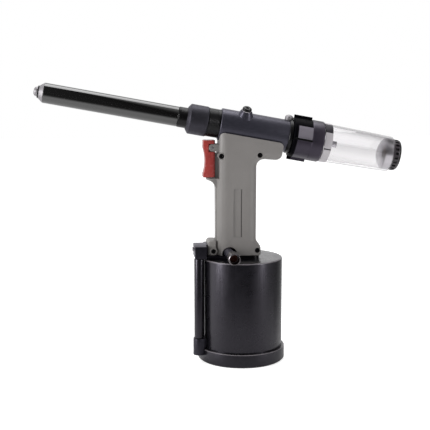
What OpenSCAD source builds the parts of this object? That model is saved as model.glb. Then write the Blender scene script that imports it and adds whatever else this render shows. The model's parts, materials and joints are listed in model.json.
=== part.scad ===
// Air-hydraulic blind riveter: long nose, pistol grip, upright air cylinder and clear mandrel bottle.
// Origin: centre of the base cap's underside. The nose points along -X and +Z is up.

/* [Air cylinder] */
// Outside diameter of the air cylinder
cyl_od = 103; // [99:0.5:106]
// Wall of the air cylinder
cyl_wall = 4; // [3:0.5:5]
// Height of the cylinder's closed top above the floor
cyl_top_z = 130; // [126:1:134]
// Thickness of the closed top
cyl_top_t = 8; // [6:0.5:10]
// Radius of the rounded upper rim
rim_r = 1.6; // [0.8:0.2:2.4]
// How far the base cap stands out beyond the cylinder
cap_lip = 3.5; // [2:0.5:5]
// Height of the base cap
cap_h = 17; // [14:0.5:19]
// Thickness of the base cap's floor
cap_floor = 6; // [5:0.5:7]
// Chamfer under the base cap
cap_chamfer = 1.8; // [0.8:0.2:2.4]
// Height of the cap's inner spigot
spigot_h = 9; // [8:0.5:10]
// Thickness of the air piston
piston_t = 14; // [12:0.5:18]
// Height of the air piston's underside at rest
piston_z = 16; // [15.5:0.5:18]
// Travel of the air piston
ram_stroke = 54; // [48:1:60]
// Diameter of the ram
ram_d = 16; // [14:0.5:17]

/* [Handle] */
// Front of the grip, ahead of the cylinder axis
grip_front = 33; // [31.5:0.5:35]
// Back of the grip, behind the cylinder axis
grip_back = 16.8; // [16.6:0.1:19]
// Width of the grip across the two shells
grip_w = 41; // [40:0.5:44]
// Corner radius of the grip at its front
grip_r = 14; // [11:0.5:15]
// Corner radius of the grip at its back and under the horn
grip_back_r = 10; // [8.5:0.5:11]
// Wall of the shells
shell_wall = 3; // [2.4:0.1:3.2]
// Underside of the handle foot
foot_z = 134.7; // [133.5:0.1:136]
// Back of the flared foot, behind the cylinder axis
foot_back = 22.9; // [22:0.1:25]
// Height where the foot starts to flare
flare_z = 155; // [150:1:160]
// Height of the straight rim under the flare
rim_z = 142.5; // [141:0.5:146]
// Height of the ledge under the trigger
ledge_z = 230; // [227:0.5:230.4]
// Reach of the ledge ahead of the cylinder axis
ledge_reach = 44.3; // [42:0.1:45.5]
// Front of the shells above the ledge
upper_front = 29.2; // [28.8:0.1:30]
// Height of the saddle's edges below the head axis
saddle_drop = 9; // [7:0.5:11]
// Rear end of the horn, along the head axis
horn_end = 52.5; // [50:0.5:55]
// Height of the horn's underside at the grip's back
horn_z = 254.1; // [252:0.1:254.4]
// Fall of the horn's underside toward the rear
horn_slope = 4.3; // [2:0.1:6]
// Radius of the arch cut for the air inlet
arch_r = 9.3; // [8.5:0.1:10.5]
// Depth of the bare recess in the grip's side
recess_t = 1; // [0.3:0.1:1.2]

/* [Head] */
// Height of the head axis above the cylinder axis
head_z = 291.6; // [290.6:0.2:293]
// Rise of the nose
head_tilt = 10.3; // [9.8:0.1:10.8]
// Outside diameter of the barrel
barrel_od = 39.6; // [38.8:0.2:40]
// Bore of the barrel
barrel_bore = 30; // [29:0.5:31]
// Front face of the barrel, along the head axis
barrel_front = -28.5; // [-30:0.5:-27]
// Step down to the collar seat, along the head axis
barrel_step = 57; // [56.6:0.2:58]
// Rear end of the barrel, along the head axis
barrel_rear = 84; // [82:0.5:86]
// Diameter of the pulling rod
rod_d = 18; // [16:0.5:19]
// Travel of the pulling piston
pull_stroke = 24; // [20:0.5:26]
// Bore for the broken-off mandrels
mandrel_bore = 5.2; // [4.4:0.2:5.6]
// Tilt of the oil screw toward the near side
oil_tilt = 28; // [15:1:40]
// Place of the oil screw, along the head axis
oil_s = 0.6; // [-1:0.2:3]

/* [Nose] */
// Outside diameter of the front nut
nut_od = 37; // [36:0.5:38]
// Front face of the front nut, along the head axis
nut_front = -70; // [-72:0.5:-68]
// Rear face of the front nut, along the head axis
nut_rear = -43.8; // [-46:0.2:-43]
// Outside diameter of the nose tube
tube_od = 24.6; // [24:0.1:25.2]
// Bore of the nose tube
tube_bore = 17.2; // [17:0.1:17.6]
// Rear end of the nose tube, along the head axis
tube_rear = -80.5; // [-84:0.5:-79]
// Front end of the nose tube, along the head axis
tube_front = -245; // [-260:1:-230]
// Length of the conical nose cap
nose_cap_len = 5.6; // [4.6:0.2:7]
// Mandrel hole of the nosepiece
nosepiece_hole = 4.2; // [3.4:0.1:4.6]

/* [Collector] */
// Outside diameter of the rear collar
collar_od = 50.8; // [50.2:0.2:52]
// Front face of the rear collar, along the head axis
collar_front = 62; // [61.8:0.1:63]
// Rear face of the rear collar, along the head axis
collar_rear = 100.5; // [98:0.5:101]
// Height of the four ribs on the collar
rib_h = 2.7; // [2:0.1:4]
// Outside diameter of the bottle at its mouth
bottle_od = 47.4; // [46:0.2:47.8]
// Taper of the bottle: less outside diameter at its far end
bottle_taper = 3.4; // [1:0.2:4]
// Wall of the bottle
bottle_wall = 2.2; // [1.8:0.1:2.6]
// Far end of the bottle, along the head axis
bottle_end = 190; // [175:1:215]
// Length of the end cap
end_cap_len = 11.3; // [10:0.1:14]
// Slots round the end cap
slots = 22; // [16:1:26]

/* [Trigger and valves] */
// Height of the trigger's pivot
pivot_z = 267.8; // [267:0.2:268.6]
// Distance of the trigger's pivot ahead of the cylinder axis
pivot_x = 37.5; // [37:0.1:38]
// Diameter of the trigger's pin
pin_d = 4; // [3:0.2:5]
// Width of the trigger
trigger_w = 17; // [15:0.5:18]
// Lower end of the trigger
trigger_low = 231.4; // [231:0.2:233]
// Upper end of the trigger
trigger_high = 277.2; // [276:0.2:278]
// Depth of the trigger from front to back
trigger_t = 14.1; // [13.5:0.1:15]
// Height of the pilot valve
pilot_z = 243; // [240:0.5:246]
// Travel of the valve spool
spool_stroke = 4; // [3:0.5:4.5]

/* [Air passages] */
// Bearing of the transfer tube round the cylinder, from the nose toward the near side
transfer_turn = 19.6; // [18.8:0.2:21]
// Outside diameter of the transfer tube
transfer_od = 12.6; // [12:0.2:13]
// Top of the lower tube block
low_block_z = 31; // [29:0.5:36]
// Distance of the inlet ahead of the cylinder axis
inlet_x = 19.4; // [18.4:0.2:20]
// Height of the inlet's axis
inlet_z = 139.1; // [138.6:0.1:139.6]
// Turn of the inlet away from the nose
inlet_turn = 2.4; // [0:0.2:4]
// Distance of the inlet's mouth from the handle's middle plane
inlet_reach = 68; // [64:0.5:76]
// Bore of the inlet's thread
inlet_bore = 11.44; // [10.4:0.01:11.8]

/* [Fits] */
// Radial clearance of a sliding or turning fit
fit = 0.05; // [0.03:0.01:0.08]
// Gap between pieces that must not touch
gap = 0.3; // [0.2:0.05:0.4]

/* [Hidden] */
$fn = 64;

e = 0.01;
far = 400;
press = 0.03;
black = [0.07, 0.07, 0.08];
charcoal = [0.16, 0.16, 0.18];
grey = [0.53, 0.52, 0.51];
steel = [0.72, 0.72, 0.74];
red = [0.60, 0.16, 0.14];
clear = [0.85, 0.88, 0.9, 0.35];

cyl_r = cyl_od / 2;
cyl_ri = cyl_r - cyl_wall;
cap_r = cyl_r + cap_lip;
lid_z = cyl_top_z - cyl_top_t;
spigot_z = cap_floor + spigot_h;
spigot_r = cyl_ri - fit;
ram_r = ram_d / 2;
piston_r = cyl_ri - fit;
ram_top = cyl_top_z + 10;
nut_z = spigot_z - 7;
gland_r = 11;
tube_r = 13;
tube_ri = 10;
tube_top = max(262, ram_top + ram_stroke + 4);
flange_z = foot_z - 0.1;
flange_w = 36;
boss_r = 14.5;
air_hole_r = 2.4;
air_hole_z = 14;

barrel_r = barrel_od / 2;
bore_r = barrel_bore / 2;
rod_r = rod_d / 2;
hole_r = mandrel_bore / 2;
spigot_s = -6;
piston_s = 8;
piston_len = 14;
bush_s = barrel_rear - 6;
seat_r = barrel_r - 1;
rod_front = -50;
draw_r = 6;
draw_rear = rod_front + 10;
jaw_s = tube_front + 3;
jaw_len = 42;
jaw_r = tube_bore / 2 - gap;
draw_front = jaw_s + 30;
cone_s = jaw_s + 2;
cone_len = 14;
cone_r1 = 4.6;
cone_r2 = 6.8;
guide_r = 4;
guide_rear = 121;
spring_s = piston_s + piston_len;
spring_turns = 8;
spring_wire = min(1.6, (bush_s - spring_s - pull_stroke) / (2 * spring_turns + 2));
coupling_r = 12.6;
shoulder_s = -61;
neck_r = 17.7;
neck_ri = 14.4;
neck_s = -56;
flat_half = 11.3;
flat_turn = 45;
coupling_rim = 2.5;
nose_s = tube_front - nose_cap_len;

ring_s = collar_rear + 0.6;
ring_len = 9.4;
bottle_r = bottle_od / 2;
bottle_ri = bottle_r - bottle_wall;
bottle_s = barrel_rear + 8;
bottle_far_r = bottle_r - bottle_taper / 2;
insert_r = bottle_far_r - bottle_wall - fit;
insert_len = 15.5;
insert_wall = 1.6;
dome_r = 33;
end_cap_r = insert_r - 0.3;
slot_w = 3.2;
slot_s = 2.6;
slot_len = 4.5;

shell_in = grip_w / 2 - shell_wall;
ledge_depth = 14.5;
ledge_r = 12.8;
saddle_corner_r = 5.5;
tail_r = 8;
tail_top_r = 5;
web_front = -34;
web_w = 9.2;
boss_out = 2.4;
arch_x = -17;
arch_z = inlet_z - 2.8;
recess_x = -12.5;
recess_z = 158;
recess_w = 10.4;
recess_h = 59.5;
horn_r = 9;
horn_turn_x = grip_back + horn_r;
horn_turn_z = horn_z - horn_r * tan(horn_slope) - horn_r / cos(horn_slope);
horn_lip = 0.15;
trigger_back = -33.9;
trigger_front = trigger_back - trigger_t;
ear_r = 4.4;
ear_in = trigger_w / 2 - 3;
channel_x = web_front - 4.7;
channel_w = web_w + 1.2;
channel_top = pivot_z - ear_r - 1.6;
web_top = channel_top - 1;
stem_r = 2.2;
pilot_x = shell_wall - upper_front;
stem_end = pilot_x + 2.3;
valve_x = -22.5;
valve_top = 168;
valve_front = shell_wall - grip_front + 0.4;
valve_half = 11;
spool_r = 3.95;
spool_z = 146;
spool_len = 12;
valve_turns = 5;
valve_spring_len = valve_top - spool_z - spool_len - 1.2;
valve_wire = min(0.4, (valve_spring_len - spool_stroke) / (2 * valve_turns + 2));
rod_z = 145;
rod_hole_r = 3.2;
block_back = -grip_front - 0.2;
block_front = -43.8;
block_top = 152.3;
plate_front = block_front - 2.1;
block_w = 30;
boss_x = -36.9;
boss_z = foot_z + 5.1;
boss_y = -14;
sunk_r = 3;
manifold_front = -cyl_r - 9.1;
manifold_back = plate_front - gap;
manifold_z = cyl_top_z + 2.5;
manifold_top = 147.5;
manifold_near = 27;
manifold_far = 6;
plug_r = 3;
plug_out = 2.4;
plug_y = -12;
plug_z = manifold_top - 4.5;
transfer_r = transfer_od / 2;
transfer_rad = cyl_r + 0.7 + transfer_r;
neck_out_r = transfer_r - 1.7;
air_hole_out = transfer_rad + 2;
air_hole_len = air_hole_out - spigot_r + 7;
low_block_base = 10;
low_block_r = transfer_r + 1.3;
seal_r = 0.4;
shoulder = 2 * seal_r + fit;
transfer_deg = 180 + transfer_turn;
oil_face = 25.4;
oil_r = 6.4;
oil_base = 12;
oil_tip = 17;
lock_s = barrel_step - 1.1;
lock_r = 5;
lock_top = 26.4;
lock_dome_r = 6.5;
ring_out = barrel_r + 1.4;
rib_w = 2.4;
rib_len = 23;
transfer_low = low_block_z - 9;
transfer_high = manifold_z + 8;
inlet_r = 5.5;
inlet_air_r = 3;
swivel_seat_r = 4.2;
swivel_r = 6.9;
swivel_rim_r = 7.3;
swivel_rim = 3;
swivel_len = 18;
swivel_d = inlet_reach - swivel_len;
thread_len = 10;
filter_r = 5;

// Places of the three shell screws, as distance behind the cylinder axis and height
screw_at = [[-27.2, 258.3], [20.2, 259.2], [17.6, 140.9]];
screw_head_r = 2.9;
screw_r = 1.6;
screw_depth = 5;
screw_boss_r = 4.2;

module head_frame() {
  translate([0, 0, head_z]) rotate([0, head_tilt, 0]) children();
}

// Turns a profile of [radius, distance along the head axis] round the head axis
module turned(points) {
  head_frame() rotate([0, 90, 0]) rotate_extrude() polygon(points);
}

module ring_at(s, r, section) {
  head_frame() rotate([0, 90, 0]) translate([0, 0, s]) rotate_extrude() translate([r, 0]) circle(section);
}

module head_rod(s1, s2, r) {
  head_frame() rotate([0, 90, 0]) translate([0, 0, s1]) cylinder(h = s2 - s1, r = r);
}

module in_bearing() {
  rotate([0, 0, transfer_deg]) translate([transfer_rad, 0, 0]) children();
}

// The inlet's own frame, with +Z along the inlet's axis and out of the handle
module inlet_frame() {
  translate([-inlet_x, 0, inlet_z]) rotate([0, 0, inlet_turn]) rotate([90, 0, 0]) children();
}

// A plan from x1 to x2 whose corners are rounded by r, or at the back by back_r where that is given
module rounded_plan(x1, x2, w, r, back_r = 0) {
  q = back_r > 0 ? back_r : r;
  translate([x1 + r, -w / 2]) square([x2 - x1 - r - q, w]);
  translate([x1, -w / 2 + r]) square([r, w - 2 * r]);
  translate([x2 - q, -w / 2 + q]) square([q, w - 2 * q]);
  for (k = [-1, 1]) {
    translate([x1 + r, k * (w / 2 - r)]) circle(r);
    translate([x2 - q, k * (w / 2 - q)]) circle(q);
  }
}

module side_plate(w) {
  rotate([90, 0, 0]) translate([0, 0, -w / 2]) linear_extrude(w) children();
}

// Coil spring along +Z: a swept round wire
module coil(r, wire, len, turns) {
  sides = 6;
  steps = 14;
  n = turns * steps;
  function place(i) = let (a = 360 * i / steps) [a, wire + (len - 2 * wire) * i / n];
  function ring(i) = let (p = place(i)) [
    for (k = [0:sides - 1]) let (b = 360 * k / sides, q = r + wire * cos(b))
      [q * cos(p[0]), q * sin(p[0]), p[1] + wire * sin(b)]
  ];
  skin = [
    for (i = [0:n - 1], k = [0:sides - 1]) let (a = i * sides + k, b = i * sides + (k + 1) % sides)
      each [[a, b, b + sides], [a, b + sides, a + sides]]
  ];
  start = [for (k = [1:sides - 2]) [0, k + 1, k]];
  finish = [for (k = [1:sides - 2]) [n * sides, n * sides + k, n * sides + k + 1]];
  polyhedron([for (i = [0:n]) each ring(i)], concat(skin, start, finish));
}

// The hole that carries air from the lower tube block into the cylinder
module air_hole() {
  rotate([0, 0, transfer_deg]) translate([air_hole_out, 0, air_hole_z]) rotate([0, -90, 0])
    cylinder(h = air_hole_len, r = air_hole_r);
}

module base_cap() {
  color(black) difference() {
    rotate_extrude() polygon([
      [0, 0], [cap_r - cap_chamfer, 0], [cap_r, cap_chamfer], [cap_r, cap_h - 0.8], [cap_r - 0.8, cap_h],
      [cyl_r + fit, cap_h], [cyl_r + fit, cap_floor], [spigot_r, cap_floor], [spigot_r, spigot_z - 7.8],
      [spigot_r - 2, spigot_z - 7.8], [spigot_r - 2, spigot_z - 5.4], [spigot_r, spigot_z - 5.4],
      [spigot_r, spigot_z], [spigot_r - 5, spigot_z], [spigot_r - 5, cap_floor], [0, cap_floor]
    ]);
    for (a = [30:120:270]) rotate([0, 0, a]) translate([cap_r - 14, 0, -e]) cylinder(h = 3, r = 3);
    translate([0, 0, -e]) rotate_extrude() polygon([[20, 0], [32, 0], [31, 1], [21, 1]]);
    air_hole();
  }
}

module base_seal() {
  color(black) translate([0, 0, spigot_z - 6.6]) rotate_extrude()
    translate([spigot_r - 1, 0]) circle(0.95);
}

module air_cylinder() {
  color(black) difference() {
    rotate_extrude() union() {
      polygon([
        [cyl_ri, cap_floor], [cyl_r, cap_floor], [cyl_r, cyl_top_z - rim_r], [cyl_r - rim_r, cyl_top_z],
        [gland_r + fit, cyl_top_z], [gland_r + fit, lid_z], [cyl_ri, lid_z]
      ]);
      translate([cyl_r - rim_r, cyl_top_z - rim_r]) intersection() {
        circle(rim_r);
        square(rim_r);
      }
    }
    air_hole();
    for (a = [45:90:315]) rotate([0, 0, a]) translate([24, 0, lid_z - e]) cylinder(h = 5, r = 2.5);
  }
}

module air_piston() {
  color(steel) translate([0, 0, piston_z]) difference() {
    rotate_extrude() polygon([
      [ram_r - 2 + fit, 0], [piston_r - 1, 0], [piston_r, 1], [piston_r, 4.5], [piston_r - 4, 4.5],
      [piston_r - 4, piston_t - 4.5], [piston_r, piston_t - 4.5], [piston_r, piston_t - 1],
      [piston_r - 1, piston_t], [piston_r - 8, piston_t], [piston_r - 12, piston_t - 6],
      [ram_r + 8, piston_t - 6], [ram_r + 5, piston_t], [ram_r - 2 + fit, piston_t]
    ]);
  }
}

module air_piston_seal() {
  color(black) translate([0, 0, piston_z]) rotate_extrude() polygon([
    [piston_r - 4 + fit, 4.6], [piston_r - 0.4, 4.6], [piston_r, 5], [piston_r, piston_t - 5],
    [piston_r - 0.4, piston_t - 4.6], [piston_r - 4 + fit, piston_t - 4.6]
  ]);
}

module ram() {
  color(steel) rotate_extrude() polygon([
    [0, nut_z], [ram_r - 2, nut_z], [ram_r - 2, piston_z + piston_t], [ram_r, piston_z + piston_t],
    [ram_r, ram_top - 1.5], [ram_r - 1.5, ram_top], [0, ram_top]
  ]);
}

module ram_nut() {
  color(steel) difference() {
    translate([0, 0, nut_z + 0.5]) cylinder(h = piston_z - nut_z - 0.5, r = 11.5, $fn = 6);
    translate([0, 0, nut_z]) cylinder(h = 20, r = ram_r - 2 + fit);
  }
}

module ram_gland() {
  color("darkgoldenrod") rotate_extrude() polygon([
    [ram_r + fit, lid_z - 4], [15, lid_z - 4], [15, lid_z], [gland_r, lid_z], [gland_r, cyl_top_z],
    [ram_r + fit, cyl_top_z]
  ]);
}

module hydraulic_tube() {
  color(black) difference() {
    union() {
      translate([0, 0, cyl_top_z]) cylinder(h = tube_top - cyl_top_z, r = tube_r);
      translate([0, 0, tube_top]) cylinder(h = 4, r = tube_ri + 1.8);
      translate([0, 0, cyl_top_z]) linear_extrude(flange_z - cyl_top_z)
        rounded_plan(-13.4, foot_back - 2, flange_w, 8);
    }
    translate([0, 0, cyl_top_z - 1]) cylinder(h = tube_top - cyl_top_z + 6, r = tube_ri);
  }
}

// The grip's outline seen from the near side, with the ledge's hollow underside
module handle_side() {
  difference() {
    polygon([
      [-grip_front, foot_z], [-grip_front, ledge_z - ledge_depth], [-ledge_reach, ledge_z - ledge_depth],
      [-ledge_reach, ledge_z], [-upper_front, ledge_z], [-upper_front, head_z + 10], [grip_back, head_z + 10],
      [grip_back, foot_z]
    ]);
    translate([-grip_front - ledge_r, ledge_z - ledge_depth]) circle(ledge_r);
  }
}

// Section of the grip's rounded back, drawn inward by t: its skin lies on the X axis
module back_section(depth, t) {
  flat = grip_w / 2 - grip_back_r;
  translate([t - grip_w / 2, grip_back_r]) square([grip_w - 2 * t, depth - grip_back_r]);
  translate([-flat, t]) square([2 * flat, depth - t]);
  for (k = [-1, 1]) translate([k * flat, grip_back_r]) circle(grip_back_r - t);
}

// The straight part of the horn, drawn inward by t
module horn_bar(t) {
  root = grip_back_r + 2;
  intersection() {
    translate([grip_back, 0, horn_z]) rotate([0, horn_slope, 0]) translate([-root, 0, 0]) rotate([90, 0, 90])
      linear_extrude(root + horn_end) back_section(head_z - horn_z + root, t);
    head_below(saddle_drop);
    horn_tail(t);
  }
}

// The rounded inner corner where the horn leaves the grip's back
module horn_turn() {
  turn_r = 1.5 * (horn_r + grip_back_r);
  intersection() {
    translate([horn_turn_x, 0, horn_turn_z]) rotate([90, 0, 0]) rotate_extrude()
      translate([horn_r, 0]) rotate(-90) back_section(turn_r - horn_r, 0);
    translate([horn_turn_x - turn_r, -grip_w / 2, horn_turn_z])
      cube([turn_r + horn_r * sin(horn_slope), grip_w, turn_r]);
  }
}

// Everything ahead of the horn's rounded rear end, drawn inward by t
module horn_tail(t) {
  s = horn_end - tail_r;
  low = (tail_r - (head_z - horn_z - s * sin(head_tilt)) * cos(horn_slope)
    - (s * cos(head_tilt) - grip_back) * sin(horn_slope)) / cos(head_tilt - horn_slope);
  top = -saddle_drop - tail_top_r;
  head_frame() side_plate(grip_w + 2) {
    translate([-far, -far]) square([far + s, 2 * far]);
    translate([-far, low]) square([far + horn_end - tail_top_r, far]);
    translate([-far, low]) square([far + horn_end - t, top - low]);
    translate([s, low]) circle(tail_r - t);
    translate([horn_end - tail_top_r, top]) circle(tail_top_r - t);
  }
}

// What is cut away to round the saddle's front corner under the barrel
module saddle_corner() {
  reach = 2.4 * saddle_corner_r;
  s = (saddle_corner_r - upper_front + (saddle_drop + saddle_corner_r) * sin(head_tilt)) / cos(head_tilt);
  head_frame() side_plate(grip_w + 2) translate([s, -saddle_drop - saddle_corner_r]) difference() {
    polygon([
      [0, 0], [-reach * cos(head_tilt), -reach * sin(head_tilt)], [-reach, saddle_corner_r + 2],
      [0, saddle_corner_r + 2]
    ]);
    circle(saddle_corner_r);
  }
}

// The flare at the back of the foot
module foot_flare() {
  out = foot_back - grip_back;
  x = grip_back - grip_back_r;
  flat = grip_w / 2 - grip_back_r;
  edge = [
    for (u = [0:0.125:1]) [out * (1 - cos(180 * u)) / 2, flare_z - (flare_z - rim_z) * u],
    [out, foot_z], [-grip_back_r, foot_z], [-grip_back_r, flare_z]
  ];
  intersection() {
    translate([x, -grip_w / 2, foot_z]) cube([foot_back, grip_w, flare_z]);
    union() {
      side_plate(2 * flat) translate([grip_back, 0]) polygon(edge);
      for (k = [-1, 1]) translate([x, k * flat, 0]) rotate_extrude() translate([grip_back_r, 0])
        polygon(edge);
    }
  }
}

module handle_outer() {
  difference() {
    union() {
      intersection() {
        linear_extrude(head_z + 20) rounded_plan(-grip_front, grip_back, grip_w, grip_r, grip_back_r);
        side_plate(grip_w + 2) handle_side();
        head_below(saddle_drop);
      }
      intersection() {
        linear_extrude(ledge_z) rounded_plan(-ledge_reach - 0.5, 0, trigger_w + 4, 6);
        side_plate(grip_w + 2) handle_side();
      }
      foot_flare();
      horn_bar(horn_lip);
      horn_turn();
    }
    saddle_corner();
  }
}

// Everything below a plane that lies d under the head axis
module head_below(d) {
  head_frame() translate([-far, -far, -far - d]) cube([2 * far, 2 * far, far]);
}

module handle_cavity() {
  translate([0, 0, foot_z - 1]) linear_extrude(ledge_z - 6 - foot_z)
    rounded_plan(shell_wall - grip_front, grip_back - shell_wall, 2 * shell_in, grip_r - shell_wall,
      grip_back_r - shell_wall);
  translate([0, 0, ledge_z - 8]) linear_extrude(60)
    rounded_plan(pilot_x, grip_back - shell_wall, 2 * shell_in, 6);
  horn_bar(shell_wall);
  translate([0, 0, foot_z - 1]) linear_extrude(6) rounded_plan(0, foot_back - shell_wall, 2 * shell_in, 6);
}

module trigger_ears() {
  for (y = [-trigger_w / 2, ear_in]) difference() {
    union() {
      translate([-pivot_x, y + 3, pivot_z]) rotate([90, 0, 0]) cylinder(h = 3, r = ear_r);
      translate([-pivot_x, y, pivot_z - ear_r]) cube([pivot_x - upper_front + 1, 3, 2 * ear_r]);
    }
    translate([-pivot_x, y + 4, pivot_z]) rotate([90, 0, 0]) cylinder(h = 6, r = pin_d / 2 + fit);
  }
}

module handle_body() {
  difference() {
    union() {
      difference() {
        handle_outer();
        handle_cavity();
      }
      intersection() {
        union() {
          handle_outer();
          translate([-upper_front - boss_out, -grip_w / 2 + 1, 250]) cube([boss_out + 4, grip_w - 2, 16]);
        }
        for (p = screw_at) translate([p[0], grip_w / 2 + 2, p[1]]) rotate([90, 0, 0])
          cylinder(h = grip_w + 4, r = screw_boss_r);
      }
      trigger_ears();
      translate([web_front, -web_w / 2, ledge_z - 1])
        cube([pilot_x - web_front - 1, web_w, web_top - ledge_z + 1]);
    }
    head_rod(barrel_front - 10, barrel_step + 10, barrel_r + 0.1);
    for (p = screw_at) translate([p[0], 0, p[1]]) rotate([90, 0, 0]) {
      cylinder(h = 60, r = screw_r + fit, center = true);
      translate([0, 0, grip_w / 2 - screw_depth]) cylinder(h = 10, r = screw_head_r + 0.4);
    }
    translate([web_front - 1, 0, pilot_z]) rotate([0, 90, 0])
      cylinder(h = pilot_x - web_front + 2, r = stem_r + gap);
    translate([-grip_front, 0, rod_z]) rotate([0, 90, 0])
      cylinder(h = 10, r = rod_hole_r + 0.95, center = true);
    translate([valve_x, 0, valve_top]) cylinder(h = 3, r = 1);
  }
}

module half(side) {
  intersection() {
    children();
    translate([-far, side < 0 ? -far : 0, 0]) cube([2 * far, far, far]);
  }
}

module handle_left() {
  color(grey) difference() {
    half(-1) handle_body();
    translate([arch_x, 0, arch_z]) rotate([90, 0, 0]) cylinder(h = grip_w, r = arch_r);
    translate([recess_x, -grip_w / 2 - 1, recess_z]) cube([recess_w, 1 + recess_t, recess_h]);
  }
}

module handle_right() {
  color(grey) half(1) handle_body();
}

module handle_screws() {
  color(black) for (p = screw_at) translate([p[0], 0, p[1]]) rotate([90, 0, 0]) difference() {
    union() {
      translate([0, 0, -12]) cylinder(h = 12 + grip_w / 2 - screw_depth, r = screw_r);
      translate([0, 0, grip_w / 2 - screw_depth]) cylinder(h = 3, r = screw_head_r);
    }
    translate([0, 0, grip_w / 2 - screw_depth + 1.2]) cylinder(h = 3, r = 1.5, $fn = 6);
  }
}

module pilot_valve_body() {
  color("darkgoldenrod") difference() {
    translate([pilot_x, 0, pilot_z]) rotate([0, 90, 0]) cylinder(h = 10.5, r = 5.5);
    translate([pilot_x - 1, 0, pilot_z]) rotate([0, 90, 0]) cylinder(h = 3, r = stem_r + fit);
    translate([pilot_x + 2, 0, pilot_z]) rotate([0, 90, 0]) cylinder(h = 7, r = 4);
  }
}

module pilot_stem() {
  color(steel) translate([channel_x + gap, 0, pilot_z]) rotate([0, 90, 0]) {
    cylinder(h = stem_end - channel_x - gap, r = stem_r);
    translate([0, 0, stem_end - channel_x - gap]) cylinder(h = 1.2, r = 3.6);
  }
}

module pilot_spring() {
  color(steel) translate([stem_end + 1.4, 0, pilot_z]) rotate([0, 90, 0]) coil(2.9, 0.35, 5.2, 4);
}

module main_valve_body() {
  color(charcoal) difference() {
    union() {
      translate([0, 0, cyl_top_z]) linear_extrude(valve_top - cyl_top_z)
        rounded_plan(valve_front, -14, 2 * valve_half, 3);
      translate([0, 0, cyl_top_z]) linear_extrude(flange_z - cyl_top_z)
        rounded_plan(plate_front, -13.6, flange_w - 2, 4);
    }
    translate([valve_x, 0, spool_z - 4]) cylinder(h = valve_top - spool_z + 5, r = spool_r + fit);
    inlet_frame() translate([0, 0, valve_half - 1]) cylinder(h = 30, r = inlet_r + fit);
    inlet_frame() cylinder(h = 30, r = inlet_air_r);
    translate([-32, 0, rod_z]) rotate([0, 90, 0]) cylinder(h = 10, r = rod_hole_r);
  }
}

module valve_spool() {
  color(steel) translate([valve_x, 0, spool_z]) rotate_extrude() polygon([
    [0, 0], [spool_r, 0], [spool_r, 3], [2.4, 3], [2.4, spool_len - 3], [spool_r, spool_len - 3],
    [spool_r, spool_len], [0, spool_len]
  ]);
}

module valve_spring() {
  color(steel) translate([valve_x, 0, spool_z + spool_len + 0.1])
    coil(3, valve_wire, valve_spring_len, valve_turns);
}

module valve_plug() {
  color(steel) translate([valve_x, 0, valve_top - 1]) difference() {
    union() {
      cylinder(h = 1, r = spool_r);
      translate([0, 0, 1]) cylinder(h = 2, r = 6.5, $fn = 6);
    }
    translate([0, 0, 1.6]) cylinder(h = 3, r = 2, $fn = 6);
  }
}

module valve_block() {
  color(grey) difference() {
    union() {
      intersection() {
        linear_extrude(block_top) rounded_plan(block_front, block_back, block_w, 3);
        side_plate(40) union() {
          translate([block_front - 1, foot_z]) square([20, block_top - foot_z - 4]);
          translate([block_front + 4, foot_z]) square([10, block_top - foot_z]);
          translate([block_front + 4, block_top - 4]) circle(4);
        }
      }
      translate([boss_x, boss_y, boss_z]) rotate([90, 0, 0]) cylinder(h = 2.4, r = sunk_r + 2);
      translate([block_back - 1, 0, rod_z]) rotate([0, 90, 0])
        cylinder(h = valve_front - block_back + 3, r = rod_hole_r - fit);
    }
    translate([boss_x, 0, boss_z]) rotate([90, 0, 0]) cylinder(h = 20, r = sunk_r);
    translate([block_front - 1, 0, rod_z]) rotate([0, 90, 0]) cylinder(h = 20, r = 2);
  }
}

module block_screw() {
  color(black) translate([boss_x, boss_y - 0.4, boss_z]) rotate([-90, 0, 0]) difference() {
    cylinder(h = 0.4 - boss_y, r = sunk_r - fit);
    translate([0, 0, -1]) cylinder(h = 4, r = 1.5, $fn = 6);
  }
}

module manifold_block() {
  color(black) difference() {
    union() {
      translate([manifold_front, -manifold_near, manifold_z])
        cube([manifold_back - manifold_front, manifold_near + manifold_far, manifold_top - manifold_z]);
      translate([manifold_back - 1, -13, foot_z])
        cube([block_front - manifold_back + 0.98, 26, manifold_top - foot_z]);
    }
    in_bearing() translate([0, 0, manifold_z - 1])
      cylinder(h = transfer_high - manifold_z + 1.3, r = neck_out_r + fit);
    translate([manifold_front - 1, plug_y, plug_z]) rotate([0, 90, 0]) cylinder(h = 12, r = plug_r - 0.5);
  }
}

module manifold_plug() {
  color(steel) translate([manifold_front - plug_out, plug_y, plug_z]) rotate([0, 90, 0]) difference() {
    union() {
      cylinder(h = plug_out, r = plug_r);
      cylinder(h = 12, r = plug_r - 0.5 - fit);
    }
    translate([0, 0, -1]) cylinder(h = 3, r = 1.7, $fn = 6);
  }
}

module transfer_tube() {
  tube_low = low_block_z + shoulder;
  color(black) in_bearing() difference() {
    union() {
      translate([0, 0, transfer_low]) cylinder(h = transfer_high - transfer_low, r = neck_out_r);
      translate([0, 0, tube_low]) cylinder(h = manifold_z - shoulder - tube_low, r = transfer_r);
    }
    translate([0, 0, transfer_low - 1]) cylinder(h = transfer_high - transfer_low + 2, r = neck_out_r - 1.6);
  }
}

module transfer_seals() {
  color(black) in_bearing() for (z = [low_block_z + seal_r, manifold_z - seal_r]) translate([0, 0, z])
    rotate_extrude() translate([neck_out_r + seal_r + fit, 0]) circle(seal_r);
}

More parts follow.
